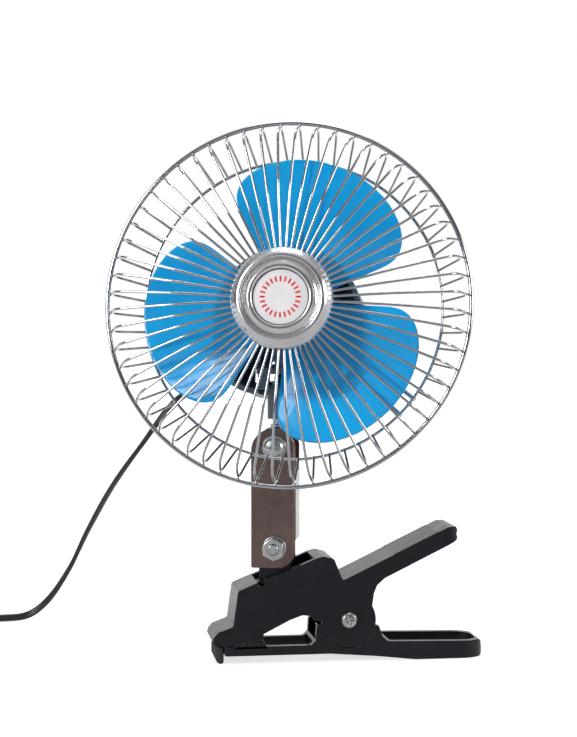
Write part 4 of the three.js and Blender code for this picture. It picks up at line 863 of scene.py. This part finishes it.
def add_cap():
    z, r, b = FRONT_FACE + GAP, 23.9, 12.9
    profile = [
        (r - 1.6, z), (r - 0.3, z + 0.1), (r, z + 0.6), (r, z + 2.0), (r - 0.5, z + 3.0),
        (r - 2.4, z + 5.5), (r - 3.6, z + 6.4), (r - 4.7, z + 6.6), (r - 5.2, z + 6.2),
        (r - 5.5, z + 4.9), (r - 6.2, z + 4.9), (r - 6.6, z + 5.9), (r - 7.4, z + 6.6), (b + 2.2, z + 7.45),
        (b + 1.2, z + 7.5), (b + 0.5, z + 7.1), (b + GAP, z + 6.2), (b + GAP, z + 4.1), (0, z + 4.1),
        (0, z + 3.1), (r - 4, z + 3.1),
    ]
    cap = soft_lathe(profile, 0.8, 192, 4)
    place("cap_pressing", cap, AXIS, "head", CAP_CHROME, "guard_cap")
    back = HUB_STATION - RING_WIRE / 2 - GAP
    plate = soft_lathe([(0, back - 1), (HUB_RING + 1.2, back - 1), (HUB_RING + 1.2, back), (0, back)],
                       0.35, 96)
    rivet = soft_lathe([(0, back - 2.2), (2.4, back - 2.2), (2.4, z + 3.0), (0, z + 3.0)], 0.8, 48)
    place("cap_plate", together(plate, rivet), AXIS, "head", STEEL, "cap_back_plate")
    add_badge(z + 4.4)


def add_badge(z):
    b = 12.9
    disc = soft_lathe([(0, z), (b - 0.1, z), (b - 0.1, z + 1.2), (b * 0.8, z + 1.45),
                       (b * 0.4, z + 1.6), (0, z + 1.65)], 0.3, 128)
    place("badge_disc", disc, AXIS, "head", PEARL, "cap_badge")
    tick = prism(rounded_rect(7.1, 9.7, -0.42, 0.42, (0.3, 0.3, 0.3, 0.3), 4), z + 1.2, z + 1.66)
    tick = soften(tick, 0.08, 2)
    place("badge_ticks", around(tick, 24), AXIS, "head", ENAMEL, "cap_badge")


# ------------------------------------------------------------------ rotor

BLADE_TIP = 70
BLADE_ROOT = 14.0
BLADE_SPAN = 94
BLADE_DEPTH = 20
BLADE_MIDDLE = 43
BLADE_SHEET = 1.8
HUB_RADIUS = 17
HUB_LENGTH = 17


def blade(middle):
    """One petal: a helical sheet with a rounded outline, thinner towards its edges."""
    rows, columns = 30, 26
    half = math.radians(BLADE_SPAN / 2)
    corner = 26
    top, bottom = [], []
    for row in range(rows):
        v = math.sin(row / (rows - 1) * math.pi / 2)
        radius = BLADE_ROOT + (BLADE_TIP - BLADE_ROOT) * v * 0.999
        past = max(0, (radius - (BLADE_TIP - corner)) / corner)
        reach = half * (1 - past**3.2) ** (1 / 2.2)
        for column in range(columns):
            s = -math.cos(math.pi * column / (columns - 1))
            turn = reach * s
            z = BLADE_MIDDLE + BLADE_DEPTH * turn / (2 * half)
            angle = math.radians(middle) + turn
            edge = max(abs(s) ** 6, (row / (rows - 1)) ** 10)
            thick = BLADE_SHEET / 2 * math.sqrt(max(1 - 0.85 * edge**2, 0.05))
            at = (radius * math.cos(angle), radius * math.sin(angle))
            top.append((*at, z + thick))
            bottom.append((*at, z - thick))
    count = rows * columns
    faces = []
    for r in range(rows - 1):
        for c in range(columns - 1):
            a = r * columns + c
            faces.append([a, a + columns, a + columns + 1, a + 1])
            faces.append([count + a, count + a + 1, count + a + columns + 1, count + a + columns])
    edge = [*range(columns - 1), *[r * columns + columns - 1 for r in range(rows - 1)],
            *[(rows - 1) * columns + c for c in range(columns - 1, 0, -1)],
            *[r * columns for r in range(rows - 1, 0, -1)]]
    for i, a in enumerate(edge):
        b = edge[(i + 1) % len(edge)]
        faces.append([a, b, count + b, count + a])
    return mesh_of(top + bottom, faces)


def add_rotor():
    front, back = BLADE_MIDDLE + HUB_LENGTH / 2, BLADE_MIDDLE - HUB_LENGTH / 2
    blades = [blade(70.4 + 120 * k) for k in range(3)]
    inside = rod("z", HUB_RADIUS - 0.9, back - 20, front + 20, sides=96)
    blades = [cut(one, inside) for one in blades]
    hub = soft_lathe([
        (1.9, front - 5), (1.9, back), (5, back), (5, front - 3), (HUB_RADIUS - 2, front - 3),
        (HUB_RADIUS - 2, back + 1), (HUB_RADIUS, back + 1), (HUB_RADIUS, front - 2),
        (HUB_RADIUS - 3, front), (5.4, front), (4.6, front - 5),
    ], 0.7, 128)
    place("rotor_blades", together(*blades), AXIS, "fan_rotor", BLADE, "rotor", smooth=50)
    place("rotor_hub", hub, AXIS, "fan_rotor", BLADE, "rotor")


# ------------------------------------------------------------------ motor and cover

COVER_HALF = 36.3
COVER_ASIDE = -4.7
COVER_DOWN = 2.7
COVER_CORNER = 22
COVER_ROUND = 12
COVER_BACK = 54
COVER_FRONT = 6
COVER_WALL = 1.8
SLOT_PITCH = 7.6
SLOT_WIDTH = 2.8
MOTOR_RADIUS = 18
MOTOR_BACK = 28.5
KNOB_AT = (-9, 20, 0)
SWITCH_AT = (12, -8)
GROMMET_AT = (-15, -11, 0)
PILLAR = (13.5, 11)


def cover_plan(inset):
    """The housing seen from behind: round above and squarer below."""
    half, corner = COVER_HALF - inset, COVER_CORNER - inset
    points = [
        *arc(0, 0, half, 0, 180, 72), *arc(corner - half, corner - half, corner, 180, 270, 20),
        *arc(half - corner, corner - half, corner, 270, 360, 20),
    ]
    return [(x + COVER_ASIDE, y - COVER_DOWN) for x, y in points]


def loft(sections):
    """A solid through outlines of equally many points, each with its station."""
    count = len(sections[0][0])
    points = [(x, y, z) for plan, z in sections for x, y in plan]
    last = len(points)
    faces = [list(range(count)), list(range(last - 1, last - count - 1, -1))]
    for start in range(0, last - count, count):
        for i in range(count):
            a, b = start + i, start + (i + 1) % count
            faces.append([a, b, b + count, a + count])
    return mesh_of(points, faces)


def cover_body(inset, front):
    back = inset - COVER_BACK
    sections = [(cover_plan(inset), front)]
    for k in range(11):
        a = math.radians(9 * k)
        sections.append((cover_plan(inset + COVER_ROUND * (1 - math.cos(a))),
                         back + COVER_ROUND * (1 - math.sin(a))))
    return loft(sections)


def slot_row(count, a0, a1, low, high, axis):
    """Round-ended slots side by side, the middle one in line with the housing's middle."""
    found = []
    for i in range(count):
        x = COVER_ASIDE + (i - (count - 1) / 2) * SLOT_PITCH
        ends = (SLOT_WIDTH / 2 - 0.01,) * 4
        plan = rounded_rect(x - SLOT_WIDTH / 2, x + SLOT_WIDTH / 2, a0, a1, ends, 6)
        found.append(prism(plan, low, high, axis))
    return found


def add_cover():
    lip = loft([(cover_plan(0), COVER_FRONT - 2), (cover_plan(-0.8), COVER_FRONT - 1.3),
                (cover_plan(-0.9), COVER_FRONT - 0.5), (cover_plan(-0.6), COVER_FRONT)])
    shell = cut(join(cover_body(0, COVER_FRONT - 0.2), lip), cover_body(COVER_WALL, COVER_FRONT + 1))
    slots = together(
        *slot_row(7, -30, -17, -COVER_BACK - 2, -COVER_BACK + 9, "z"),
        *slot_row(5, -40, -18, MOTOR_RADIUS + 3, COVER_HALF + 2, "y"),
    )
    bottom = COVER_HALF + COVER_DOWN
    half, behind = 9.3, bottom * math.sin(math.radians(NOSE_UP))
    boss_way = block(-MOTOR_ASIDE - half, -MOTOR_ASIDE + half, -bottom - 4, -bottom + 9,
                     -behind - 6.4, COVER_FRONT + 5)
    holes = together(
        rod("z", 2.1, -COVER_BACK - 5, -COVER_BACK + 5, KNOB_AT),
        rod("z", 3.9, -COVER_BACK - 5, -COVER_BACK + 5, GROMMET_AT),
        block(SWITCH_AT[0] - 4.8, SWITCH_AT[0] + 4.8, SWITCH_AT[1] - 6.8, SWITCH_AT[1] + 6.8,
              -COVER_BACK - 5, -COVER_BACK + 5),
        *[rod("z", 1.8, -COVER_BACK - 4, 0, (s * PILLAR[0], PILLAR[1], 0), 32) for s in (-1, 1)],
    )
    bars = [rod("z", 3.6, -COVER_BACK + 1, -MOTOR_BACK - 3.7, (s * PILLAR[0], PILLAR[1], 0), 40)
            for s in (-1, 1)]
    shell = cut(join(shell, *bars), slots, boss_way, holes)
    place("cover_shell", soften(shell, 0.3, 2, 35), AXIS, "head", COVER, "rear_cover", smooth=40)
    for side, word in ((-1, "left"), (1, "right")):
        x, y = side * PILLAR[0], PILLAR[1]
        head = put(pan_head(3.2, 2.0, 0.8, 1.1), turned_about("X", 180), moved(x, y, -COVER_BACK - GAP))
        shank = put(thread(1.5, -MOTOR_BACK - 3.2, -MOTOR_BACK + 20, 0.7, 0.2), moved(x, y, -23.4))
        place(f"cover_fixing_{word}", together(head, shank), AXIS, "head", ZINC, f"cover_screw_{word}")


def add_back_fittings():
    back = -COVER_BACK - 4
    grip = soft_lathe([(0, back - 9), (4.6, back - 9), (4.6, back - 0.6), (3.6, back - 0.6),
                       (3.6, back - 0.3), (1.8, back - 0.3), (1.8, -COVER_BACK + 8),
                       (0, -COVER_BACK + 8)], 0.5, 96)
    ridges = around(block(4.15, 6, -0.28, 0.28, back - 8, back - 1.4), 20)
    knob = soften(cut(grip, ridges), 0.1, 1)
    place("pull_knob", knob, AXIS @ moved(*KNOB_AT), "knob", BLACK, "swing_knob")
    sleeve = soft_lathe([
        (2.15, -COVER_BACK + 3), (3.6, -COVER_BACK + 3), (3.6, -COVER_BACK - 0.3),
        (5.0, -COVER_BACK - 0.3), (5.0, -COVER_BACK - 2), (3.4, -COVER_BACK - 2.6),
        (2.9, -COVER_BACK - 9), (2.15, -COVER_BACK - 9),
    ], 0.35, 64)
    place("cord_sleeve", sleeve, AXIS @ moved(*GROMMET_AT), "head", RUBBER, "cord_grommet")


def add_motor():
    r = MOTOR_RADIUS
    can = soft_lathe([
        (4.3, 14), (r - 1.5, 14), (r, 12.5), (r, -MOTOR_BACK), (r - 1.2, -MOTOR_BACK),
        (r - 1.2, 12.8), (4.3, 12.8),
    ], 0.8, 128)
    place("motor_can_shell", can, AXIS, "head", ZINC, "motor_can")
    inside, back = r - 1.5, -MOTOR_BACK - GAP
    bell = soft_lathe([
        (4.3, back - 2.4), (r - 1, back - 2.4), (r, back - 1), (r, back), (inside, back),
        (inside, back + 3), (inside - 1.5, back + 3), (inside - 1.5, back - 0.8), (4.3, back - 0.8),
    ], 0.5, 128)
    place("motor_bell_shell", bell, AXIS, "head", COVER, "motor_end_bell")
    plate = rod("z", r, PLATE_BACK, PLATE_FRONT, sides=96)
    for k in range(3):
        turn = turned_about("Z", LEG_FIRST + 120 * k)
        lobe = join(rod("z", 6, PLATE_BACK, PLATE_FRONT, (LEG_FOOT, 0, 0), 48),
                    block(0, LEG_FOOT, -6, 6, PLATE_BACK, PLATE_FRONT))
        hole = rod("z", 1.9, 0, 60, (LEG_FOOT, 0, 0), 32)
        plate = cut(join(plate, put(lobe, turn)), put(hole, turn))
    plate = soften(cut(plate, rod("z", 5.5, 0, 60, sides=48)), 0.25)
    place("front_plate", plate, AXIS, "head", STEEL, "mount_plate")


# ------------------------------------------------------------------ bracket, bolts and neck

SHEET = 1.5
DEEP = 10.0
LEFT = 11.7
RIGHT = 10.5
BOLT = 2.7
FACE = DEEP + GAP
WASHER = 0.9
NUT_HIGH = 4.6


def add_bracket():
    middle, half = (RIGHT - LEFT) / 2, (LEFT + RIGHT) / 2
    high = BOLT_SPACING + half - 1.6
    face = [(-LEFT + 0.6, -10), (RIGHT - 9.5, -10), *arc(RIGHT - 9.5, -0.5, 9.5, -75, 0, 12),
            *arc(middle, high - half, half, 0, 180, 36), (-LEFT, -9.4)]
    bend = 2.6
    outer = [*arc(RIGHT - bend, -DEEP + bend, bend, -90, 0, 10),
             *arc(RIGHT - bend, DEEP - bend, bend, 0, 90, 10), (-LEFT - 1, DEEP), (-LEFT - 1, -DEEP)]
    b = bend - SHEET
    inner = [*arc(RIGHT - bend, -DEEP + bend, b, -90, 0, 10),
             *arc(RIGHT - bend, DEEP - bend, b, 0, 90, 10),
             (-LEFT - 2, DEEP - SHEET), (-LEFT - 2, -DEEP + SHEET)]
    channel = cut(prism(outer, -20, 80), prism(inner, -21, 81))
    clear = DEEP - SHEET
    shape = cut(
        meet(channel, prism(face, -DEEP - 1, DEEP + 1, "y")),
        block(0, 20, -clear, clear, -30, 4), block(0, 20, -clear, clear, 38, 90),
        block(RIGHT - 2.4, 20, -clear, 20, -30, 4),
        rod("y", BOLT + GAP, -20, 20), rod("y", BOLT + GAP, -20, 20, (0, 0, BOLT_SPACING)),
    )
    place("bracket_sheet", soften(shape, 0.35, 3, 28), LOWER, "bracket", BRONZE, "bracket", smooth=40)


FRONT_TURN = turned_about("X", 90)  # local Z towards the viewer
BACK_TURN = turned_about("X", -90)


def flat_washer():
    return lathe([(BOLT + GAP, 0.05), (BOLT + GAP + 0.1, 0), (5.9, 0), (6.0, 0.15), (6.0, 0.75),
                  (5.85, 0.9), (BOLT + GAP + 0.15, 0.9), (BOLT + GAP, 0.8)], 96)


def add_bolts():
    """The lower bolt comes from behind and the upper one from the front, each with washer and nut."""
    start = FACE + WASHER + GAP
    shank = thread(BOLT, -start - NUT_HIGH - 1.4, -FACE - WASHER, 0.8, 0.28)
    plain = rod("z", BOLT, -FACE - 1, FACE + 0.1, sides=48)
    lower = put(together(shank, plain, hex_piece(10, FACE, FACE + 3.6, chamfer=(False, True))), BACK_TURN)
    nut = put(hex_piece(10, start, start + NUT_HIGH, bore=BOLT + 0.2), turned_about("Z", 30))
    washer = put(flat_washer(), moved(0, 0, FACE))
    pan = put(pan_head(4.8, 2.9, 1.0, 1.5), moved(0, 0, start))
    body = rod("z", BOLT, -FACE, start + 0.1, sides=48)
    tip = thread(BOLT, -(FACE + NUT_HIGH + 1.2), -FACE, 0.8, 0.28)
    rear = hex_piece(10, FACE, FACE + NUT_HIGH, bore=BOLT + 0.2)
    for name, mesh, at in (
        ("lower_bolt", lower, LOWER), ("lower_nut", nut, LOWER @ FRONT_TURN),
        ("lower_washer", washer, LOWER @ FRONT_TURN), ("upper_washer", washer, UPPER @ FRONT_TURN),
        ("upper_bolt", together(pan, body, tip), UPPER @ FRONT_TURN),
        ("upper_nut", rear, UPPER @ BACK_TURN),
    ):
        place(f"{name}_steel", mesh, at, "bracket", ZINC, name)


LUG_HALF = 8.2


def add_neck():
    half = 5.5
    side = [*arc(0, -6.4 + half, half, 180, 360, 24), (half, 8.2), (half - 1.2, 9.4),
            (-half + 1.2, 9.4), (-half, 8.2)]
    lug = cut(prism(side, -LUG_HALF, LUG_HALF, "y"), rod("y", BOLT + GAP, -15, 15),
              rod("z", 2.6, 4, 20))
    place("neck_lug_steel", soften(lug, 0.4), UPPER, "neck", STEEL, "neck_lug")
    pin = soft_lathe([(0, 4.4), (2.3, 4.4), (2.3, 9.7), (3.6, 9.7), (3.6, 11.0), (2.3, 11.0),
                      (2.3, 32.3), (0, 32.3)], 0.4, 64)
    place("neck_pin_steel", pin, UPPER, "neck", CAP_CHROME, "neck_pin")


def add_swivel():
    turret = soft_lathe([(0, 0.3), (11, 0.3), (11, 6.2), (0, 6.2)], 0.6, 96)
    top = LOWER_BOLT
    side = [(-8, 5.2), (8, 5.2), (8, top - 9), *arc(0, top, 7.6, -20, 180, 24), (-8, top - 6)]
    shape = cut(join(turret, prism(side, -LUG_HALF, LUG_HALF, "y")),
                rod("y", BOLT + GAP, -15, 15, (0, 0, top)), rod("z", 2.6, -1, 9))
    place("swivel_block_shell", soften(shape, 0.4), POST, "swivel", BLACK, "swivel_block")


# ------------------------------------------------------------------ clip

HALF = 15.0
CHEEK_INNER = HALF - 3
LUG_OUTER = CHEEK_INNER - GAP
LUG_INNER = LUG_OUTER - 3
RAIL_INNER = HALF - 3.4
JAW = 62
GRIP = 70
JAW_TOP = 8.5
GRIP_TOP = 9
TOOTH_START = -JAW + 5
TEETH = 5
TOOTH_PITCH = 3.2
RIBS = 33
RIB_PITCH = 0.7
SLOPE = math.tan(math.radians(26))


def under(x):
    return 32.3 + SLOPE * x


def over(x):
    return 41.8 + SLOPE * 0.985 * x


def axle_rod(radius, low, high, sides=96):
    return rod("y", radius, low, high, (0, 0, AXLE_HEIGHT), sides)


def round_side(outline, steps=5):
    """A side view from points with a corner radius each."""
    line = rounded([(x, z, 0) for x, z, _ in outline], [r for _, _, r in outline], steps, closed=True)
    return [(p.x, p.y) for p in line]


def lower_lever():
    side = [
        (-JAW, 4, 0.6), (-9, 4, 2), (14, 2.2, 2), (34, 0, 2), (GRIP - 1.8, 0, 1.4), (GRIP, 2, 1.2),
        (GRIP, 5, 0.5), (GRIP - 1.2, 5.4, 0.3), (GRIP - 1.2, GRIP_TOP - 1.6, 0.8),
        (GRIP - 2.6, GRIP_TOP - 0.4, 1), (20, GRIP_TOP + 0.5, 2), (17, GRIP_TOP + 3, 2),
        (15.2, AXLE_HEIGHT - 3, 1), (-14.9, AXLE_HEIGHT - 2, 1.2), (-16.2, AXLE_HEIGHT - 3, 1.5),
        (-16.6, JAW_TOP + 2.2, 2), (-19, JAW_TOP, 2), (-JAW + 1.2, JAW_TOP, 0.6),
        (-JAW, JAW_TOP - 0.8, 0.6),
    ]
    plan = rounded_rect(-JAW - 1, GRIP, -HALF, HALF, (3, 12, 12, 3), 16)
    shell = meet(prism(round_side(side), -HALF, HALF, "y"), prism(plan, -1, 40))
    grip_slot = prism(rounded_rect(21, GRIP - 3.4, -RAIL_INNER, RAIL_INNER, (2, 9, 9, 2), 12), -5, 40)
    jaw_slot = prism(rounded_rect(-41, -17.5, -RAIL_INNER, RAIL_INNER, (2, 2, 2, 2), 6), -5, 40)
    well = prism([(-13, 5.4), (16, 5.4), (16, 40), (-13, 40)], -LUG_INNER, LUG_INNER, "y")
    between = [axle_rod(13.9, *ends) for ends in
               ((-HALF - 1, -CHEEK_INNER + GAP), (CHEEK_INNER - GAP, HALF + 1))]
    over_lugs = cut(
        prism([(-20, 11), (20, 11), (20, 60), (-20, 60)], -LUG_OUTER, LUG_OUTER, "y"),
        axle_rod(8, -LUG_OUTER - 1, LUG_OUTER + 1),
        block(-8, 8, -LUG_OUTER - 1, LUG_OUTER + 1, 0, AXLE_HEIGHT),
    )
    bore = axle_rod(2.6, -HALF - 1, HALF + 1, 48)
    peg = block(-JAW - 1, -JAW + 4 + GAP, -6, 6, 5.1 - GAP, 6.7 + GAP)
    shell = cut(shell, grip_slot, jaw_slot, well, over_lugs, bore, peg, *between)
    return join(shell, teeth())


def teeth():
    row = [(TOOTH_START, JAW_TOP - 1)]
    for i in range(TEETH):
        x = TOOTH_START + i * TOOTH_PITCH
        row += [(x, JAW_TOP), (x + 1.4, JAW_TOP + 1.9), (x + 1.8, JAW_TOP + 1.9)]
    end = TOOTH_START + TEETH * TOOTH_PITCH
    row += [(end, JAW_TOP), (end, JAW_TOP - 1)]
    return prism(row, -HALF, HALF, "y")


def upper_side():
    outline = [
        (-66.6, JAW_TOP + 0.8, 0.7), (-68, 11.2, 0.8), (-67.6, 13.2, 1), (-65.4, 15.8, 1.6),
        (-57.8, 18.6, 1.6), (-55.4, 36.2, 1.6), (-45.6, 40.2, 1.6), (-24.6, 48.3, 1.5),
        (-16.6, 51.6, 1.5), (-12.5, 52.6, 1.6), (-7.4, 51.2, 1.6), (-3, over(-3), 1.5),
    ]
    for i in range(RIBS):
        x = 23 + i * RIB_PITCH
        outline.append((x, over(x) + (0.5 if i % 2 else 0), 0.08))
    end = 54
    outline += [
        (end - 8, over(end - 8), 0.4), (end - 3.4, over(end - 3.4), 2.5),
        (end + 0.6, over(end + 0.6) - 1.6, 2), (end + 1.9, over(end) - 3.6, 1.5),
        (end + 1.8, under(end) + 5, 0.8), (end + 1, under(end) + 3.6, 0.4), (end + 2, under(end) + 2.2, 0.5),
        (end + 1.6, under(end) + 0.9, 0.5), (end - 0.4, under(end - 0.4), 0.8),
        (18, under(18), 2), (14.2, 37.6, 1.2), (12.6, 33.5, 1),
        *[(x, z, 0) for x, z in arc(0, AXLE_HEIGHT, 13.6, 30, -178, 48)],
        (-17.6, AXLE_HEIGHT + 0.4, 0.8), (-19.6, AXLE_HEIGHT + 2.6, 1), (-23.5, AXLE_HEIGHT + 2.9, 1.2),
        (-29.6, AXLE_HEIGHT + 0.7, 1.2), (-42.6, JAW_TOP + 6.2, 1), (-43.4, JAW_TOP + 3.6, 0.6),
    ]
    for i in range(TEETH, 0, -1):
        x = TOOTH_START + i * TOOTH_PITCH
        outline += [(x, JAW_TOP + 0.45, 0.1), (x - TOOTH_PITCH / 2, JAW_TOP + 2.45, 0.2)]
    outline.append((TOOTH_START - 0.4, JAW_TOP + 0.45, 0.3))
    return round_side(outline, 4)


def upper_lever():
    body = prism(upper_side(), -HALF, HALF, "y")
    plan = prism(rounded_rect(-69, 56.4, -HALF, HALF, (3, 6, 6, 3), 10), -1, 80)
    socket = block(-45.6, -17, -CHEEK_INNER + GAP, CHEEK_INNER - GAP, SOCKET_FLOOR, 80)
    notch = block(-45.6, -42.2, -HALF - 1, 0, 38.5, 80)
    hollow = axle_rod(15.2, -CHEEK_INNER, CHEEK_INNER)
    channel = prism([(-4, 30), (12, 30), (18, under(18) - 1), (50, under(50) - 1),
                     (50, over(50) - 3.2), (4, over(4) - 3.2), (-4, 36)],
                    -RAIL_INNER, RAIL_INNER, "y")
    bore = axle_rod(2.6, -HALF - 1, HALF + 1, 48)
    ways = [rod("z", 2.6, 10, 34, (POST_X, 0, 0), 40), rod("z", 4.7, 5, 28, (POST_X, 0, 0), 48)]
    return cut(meet(body, plan), socket, notch, hollow, channel, bore, *ways)


def clip_spring():
    """A leg on the lower lever, five turns, and a leg under the upper grip."""
    wire, pitch, radius, turns, steps = 1.8, 2.35, 6.2, 5, 40
    half = (turns + 0.5) * pitch / 2
    line = [Vector((13.6, -half, 5.4 + GAP + wire / 2))]
    for i in range(turns * steps + 21):
        angle = math.radians(-70 - i * 9)
        line.append(Vector((radius * math.cos(angle), -half + i / steps * pitch,
                            AXLE_HEIGHT + radius * math.sin(angle))))
    line.append(Vector((17, half, over(17) - 3.2 - GAP - wire * 0.75)))
    radii = [0, 2.5, *[0] * (len(line) - 4), 2.5, 0]
    return sweep(rounded(line, radii, 6), circle(wire / 2, 14)), half


def add_clip():
    place("lower_lever_shell", soften(lower_lever(), 0.45, 2, 34), CLIP, "clip_base", BLACK,
          "lower_lever", smooth=40)
    place("upper_lever_shell", soften(upper_lever(), 0.45, 2, 34), CLIP, "upper_jaw", BLACK,
          "upper_lever", smooth=40)
    back, front = -JAW - GAP, -JAW - GAP - 4
    side = round_side([(front, 7, 0.8), (front, 2.2, 1), (front + 0.8, 0.5, 1), (front + 1.8, 0, 1),
                       (back - 0.8, 0, 0.4), (back, 0.8, 0.4), (back, 8, 0.3), (front + 1, 8, 0.8)])
    plan = rounded_rect(front, back, -12.5, 12.5, (3.2, 0.5, 0.5, 3.2), 10)
    foot = soften(meet(prism(side, -12.5, 12.5, "y"), prism(plan, -1, 9)), 0.25, 2, 34)
    peg = block(back - 1, -JAW + 4, -5.7, 5.7, 5.1, 6.7)
    place("jaw_foot_rubber", together(foot, peg), CLIP, "clip_base", RUBBER, "jaw_foot")
    head = put(pan_head(4, 2.4, 0.85, 1.3), turned_about("Z", 20))
    shank = rod("z", 2.3, -35.3, 0.1, sides=48)
    at = CLIP @ moved(0, -HALF - GAP, AXLE_HEIGHT) @ FRONT_TURN
    place("axle_screw_steel", together(head, shank), at, "clip_base", ZINC, "clip_axle_screw")
    nut = hex_piece(8, HALF + GAP, HALF + GAP + 3.4, bore=2.5)
    place("axle_nut_steel", nut, CLIP @ moved(0, 0, AXLE_HEIGHT) @ BACK_TURN, "clip_base", ZINC,
          "clip_axle_nut")
    mesh, half = clip_spring()
    spring = place("spring_wire", put(mesh, CLIP), WORLD, None, SPRING, "clip_spring", smooth=50)
    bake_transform(spring)


# ------------------------------------------------------------------ CAD nodes that stay

KEPT = [
    (MAGNET, "motor_magnet"), (BRASS, "front_bush rear_bush worm rotor_nut"),
    (STEEL, "motor_armature motor_shaft swing_link neck_arm plug_contact_left plug_contact_right"),
    (WHITE, "worm_wheel"), (COVER, "gear_carrier"), (BLACK, "switch_body switch_rocker"),
    (ZINC, "swivel_screw"),
]


def dress(node, finish):
    """Gives a CAD node its finish, with its edges rounded by modifiers alone."""
    slot, material = finish
    node.data.materials.clear()
    node.data.materials.append(material)
    flat = node.modifiers.new("merge_flats", "DECIMATE")
    flat.decimate_type, flat.angle_limit = "DISSOLVE", math.radians(1)
    bevel = node.modifiers.new("soft_edges", "BEVEL")
    bevel.width, bevel.segments, bevel.limit_method = 0.2 * MM, 2, "ANGLE"
    bevel.angle_limit = math.radians(30)
    even_normals(node)


# ------------------------------------------------------------------ light and floor


def by_ray(graph, plain, mirrored, seen):
    """seen for rays from the camera or through clear plastic, mirrored for those off metal."""
    ray = graph.add("LightPath").outputs
    direct = graph.math("MAXIMUM", ray["Is Camera Ray"], ray["Is Transmission Ray"])
    other = graph.add("MixShader", {0: ray["Is Glossy Ray"], 1: plain, 2: mirrored}).outputs[0]
    return graph.add("MixShader", {0: direct, 1: other, 2: seen}).outputs[0]


def add_world():
    world = bpy.data.worlds.new("studio")
    scene.world = world
    world.use_nodes = True
    graph = Graph(world.node_tree)
    graph.nodes.clear()
    backdrop = graph.add("Background", {"Color": (1, 1, 1, 1)}).outputs[0]
    ambient = graph.add("Background", {"Color": (0.93, 0.96, 1, 1), "Strength": 0.55}).outputs[0]
    way = graph.add("SeparateXYZ", {0: graph.add("TexCoord").outputs["Generated"]}).outputs
    levels = [graph.ramp(way[k], low, high, 0, level, interpolation_type="SMOOTHSTEP")
              for k, low, high, level in ((1, 0.62, 0.86, 0.9), (2, 0.45, 0.95, 0.4))]
    bright = graph.math("ADD", graph.math("MAXIMUM", *levels), 0.1)
    room = graph.add("Background", {"Color": bright}).outputs[0]
    graph.add("OutputWorld", {"Surface": by_ray(graph, ambient, room, backdrop)})


LAMP_TARGET = (0, 0, 0.12)


def add_lamp(name, at, size, power):
    data = bpy.data.lights.new(name, "AREA")
    data.shape, data.size, data.energy = "DISK", size, power
    lamp = bpy.data.objects.new(name, data)
    scene.collection.objects.link(lamp)
    lamp.location = at
    lamp.rotation_mode = "QUATERNION"
    lamp.rotation_quaternion = (Vector(LAMP_TARGET) - Vector(at)).to_track_quat("-Z", "Y")


def add_floor():
    mesh = bpy.data.meshes.new("floor")
    mesh.from_pydata([(-4, -4, 0), (4, -4, 0), (4, 4, 0), (-4, 4, 0)], [], [[0, 1, 2, 3]])
    floor = bpy.data.objects.new("floor", mesh)
    floor.location.z = -0.0002
    scene.collection.objects.link(floor)
    material = bpy.data.materials.new("pale_floor")
    material.use_nodes = True
    graph = Graph(material.node_tree)
    graph.nodes.clear()
    place_on = graph.add("TexCoord").outputs["Object"]

    def diffuse(level):
        return graph.add("BsdfDiffuse", {"Color": (level, level, level, 1)}).outputs[0]

    def lit(level, strength):
        glow = graph.add("Emission", {"Strength": strength}).outputs[0]
        return graph.add("AddShader", {0: diffuse(level), 1: glow}).outputs[0]

    far = graph.add("VectorMath", {0: place_on}, operation="LENGTH").outputs["Value"]
    behind = graph.add("SeparateXYZ", {0: place_on}).outputs[1]
    seen = lit(0.42, graph.ramp(far, 0.15, 0.7, 0.72, 1.0))
    mirrored = lit(0.18, graph.ramp(behind, -0.1, 0.35, 0.3, 0.9))
    graph.add("OutputMaterial", {"Surface": by_ray(graph, diffuse(0.8), mirrored, seen)})
    mesh.materials.append(material)


add_cord()
add_coil()
add_tail()
add_guard()
for number in (1, 2, 3):
    add_leg(number)
add_cap()
add_rotor()
add_motor()
add_cover()
add_back_fittings()
add_bracket()
add_bolts()
add_neck()
add_swivel()
add_clip()
for finish, names in KEPT:
    for name in names.split():
        dress(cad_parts[name], finish)
add_world()
for name, at, size, power in (
    ("key", (-1.35, -0.85, 0.75), 0.9, 20), ("fill", (1.45, -0.7, 0.6), 0.9, 13),
    ("top", (0.1, 0.5, 1.7), 1.0, 12),
):
    add_lamp(name, at, size, power)
add_floor()
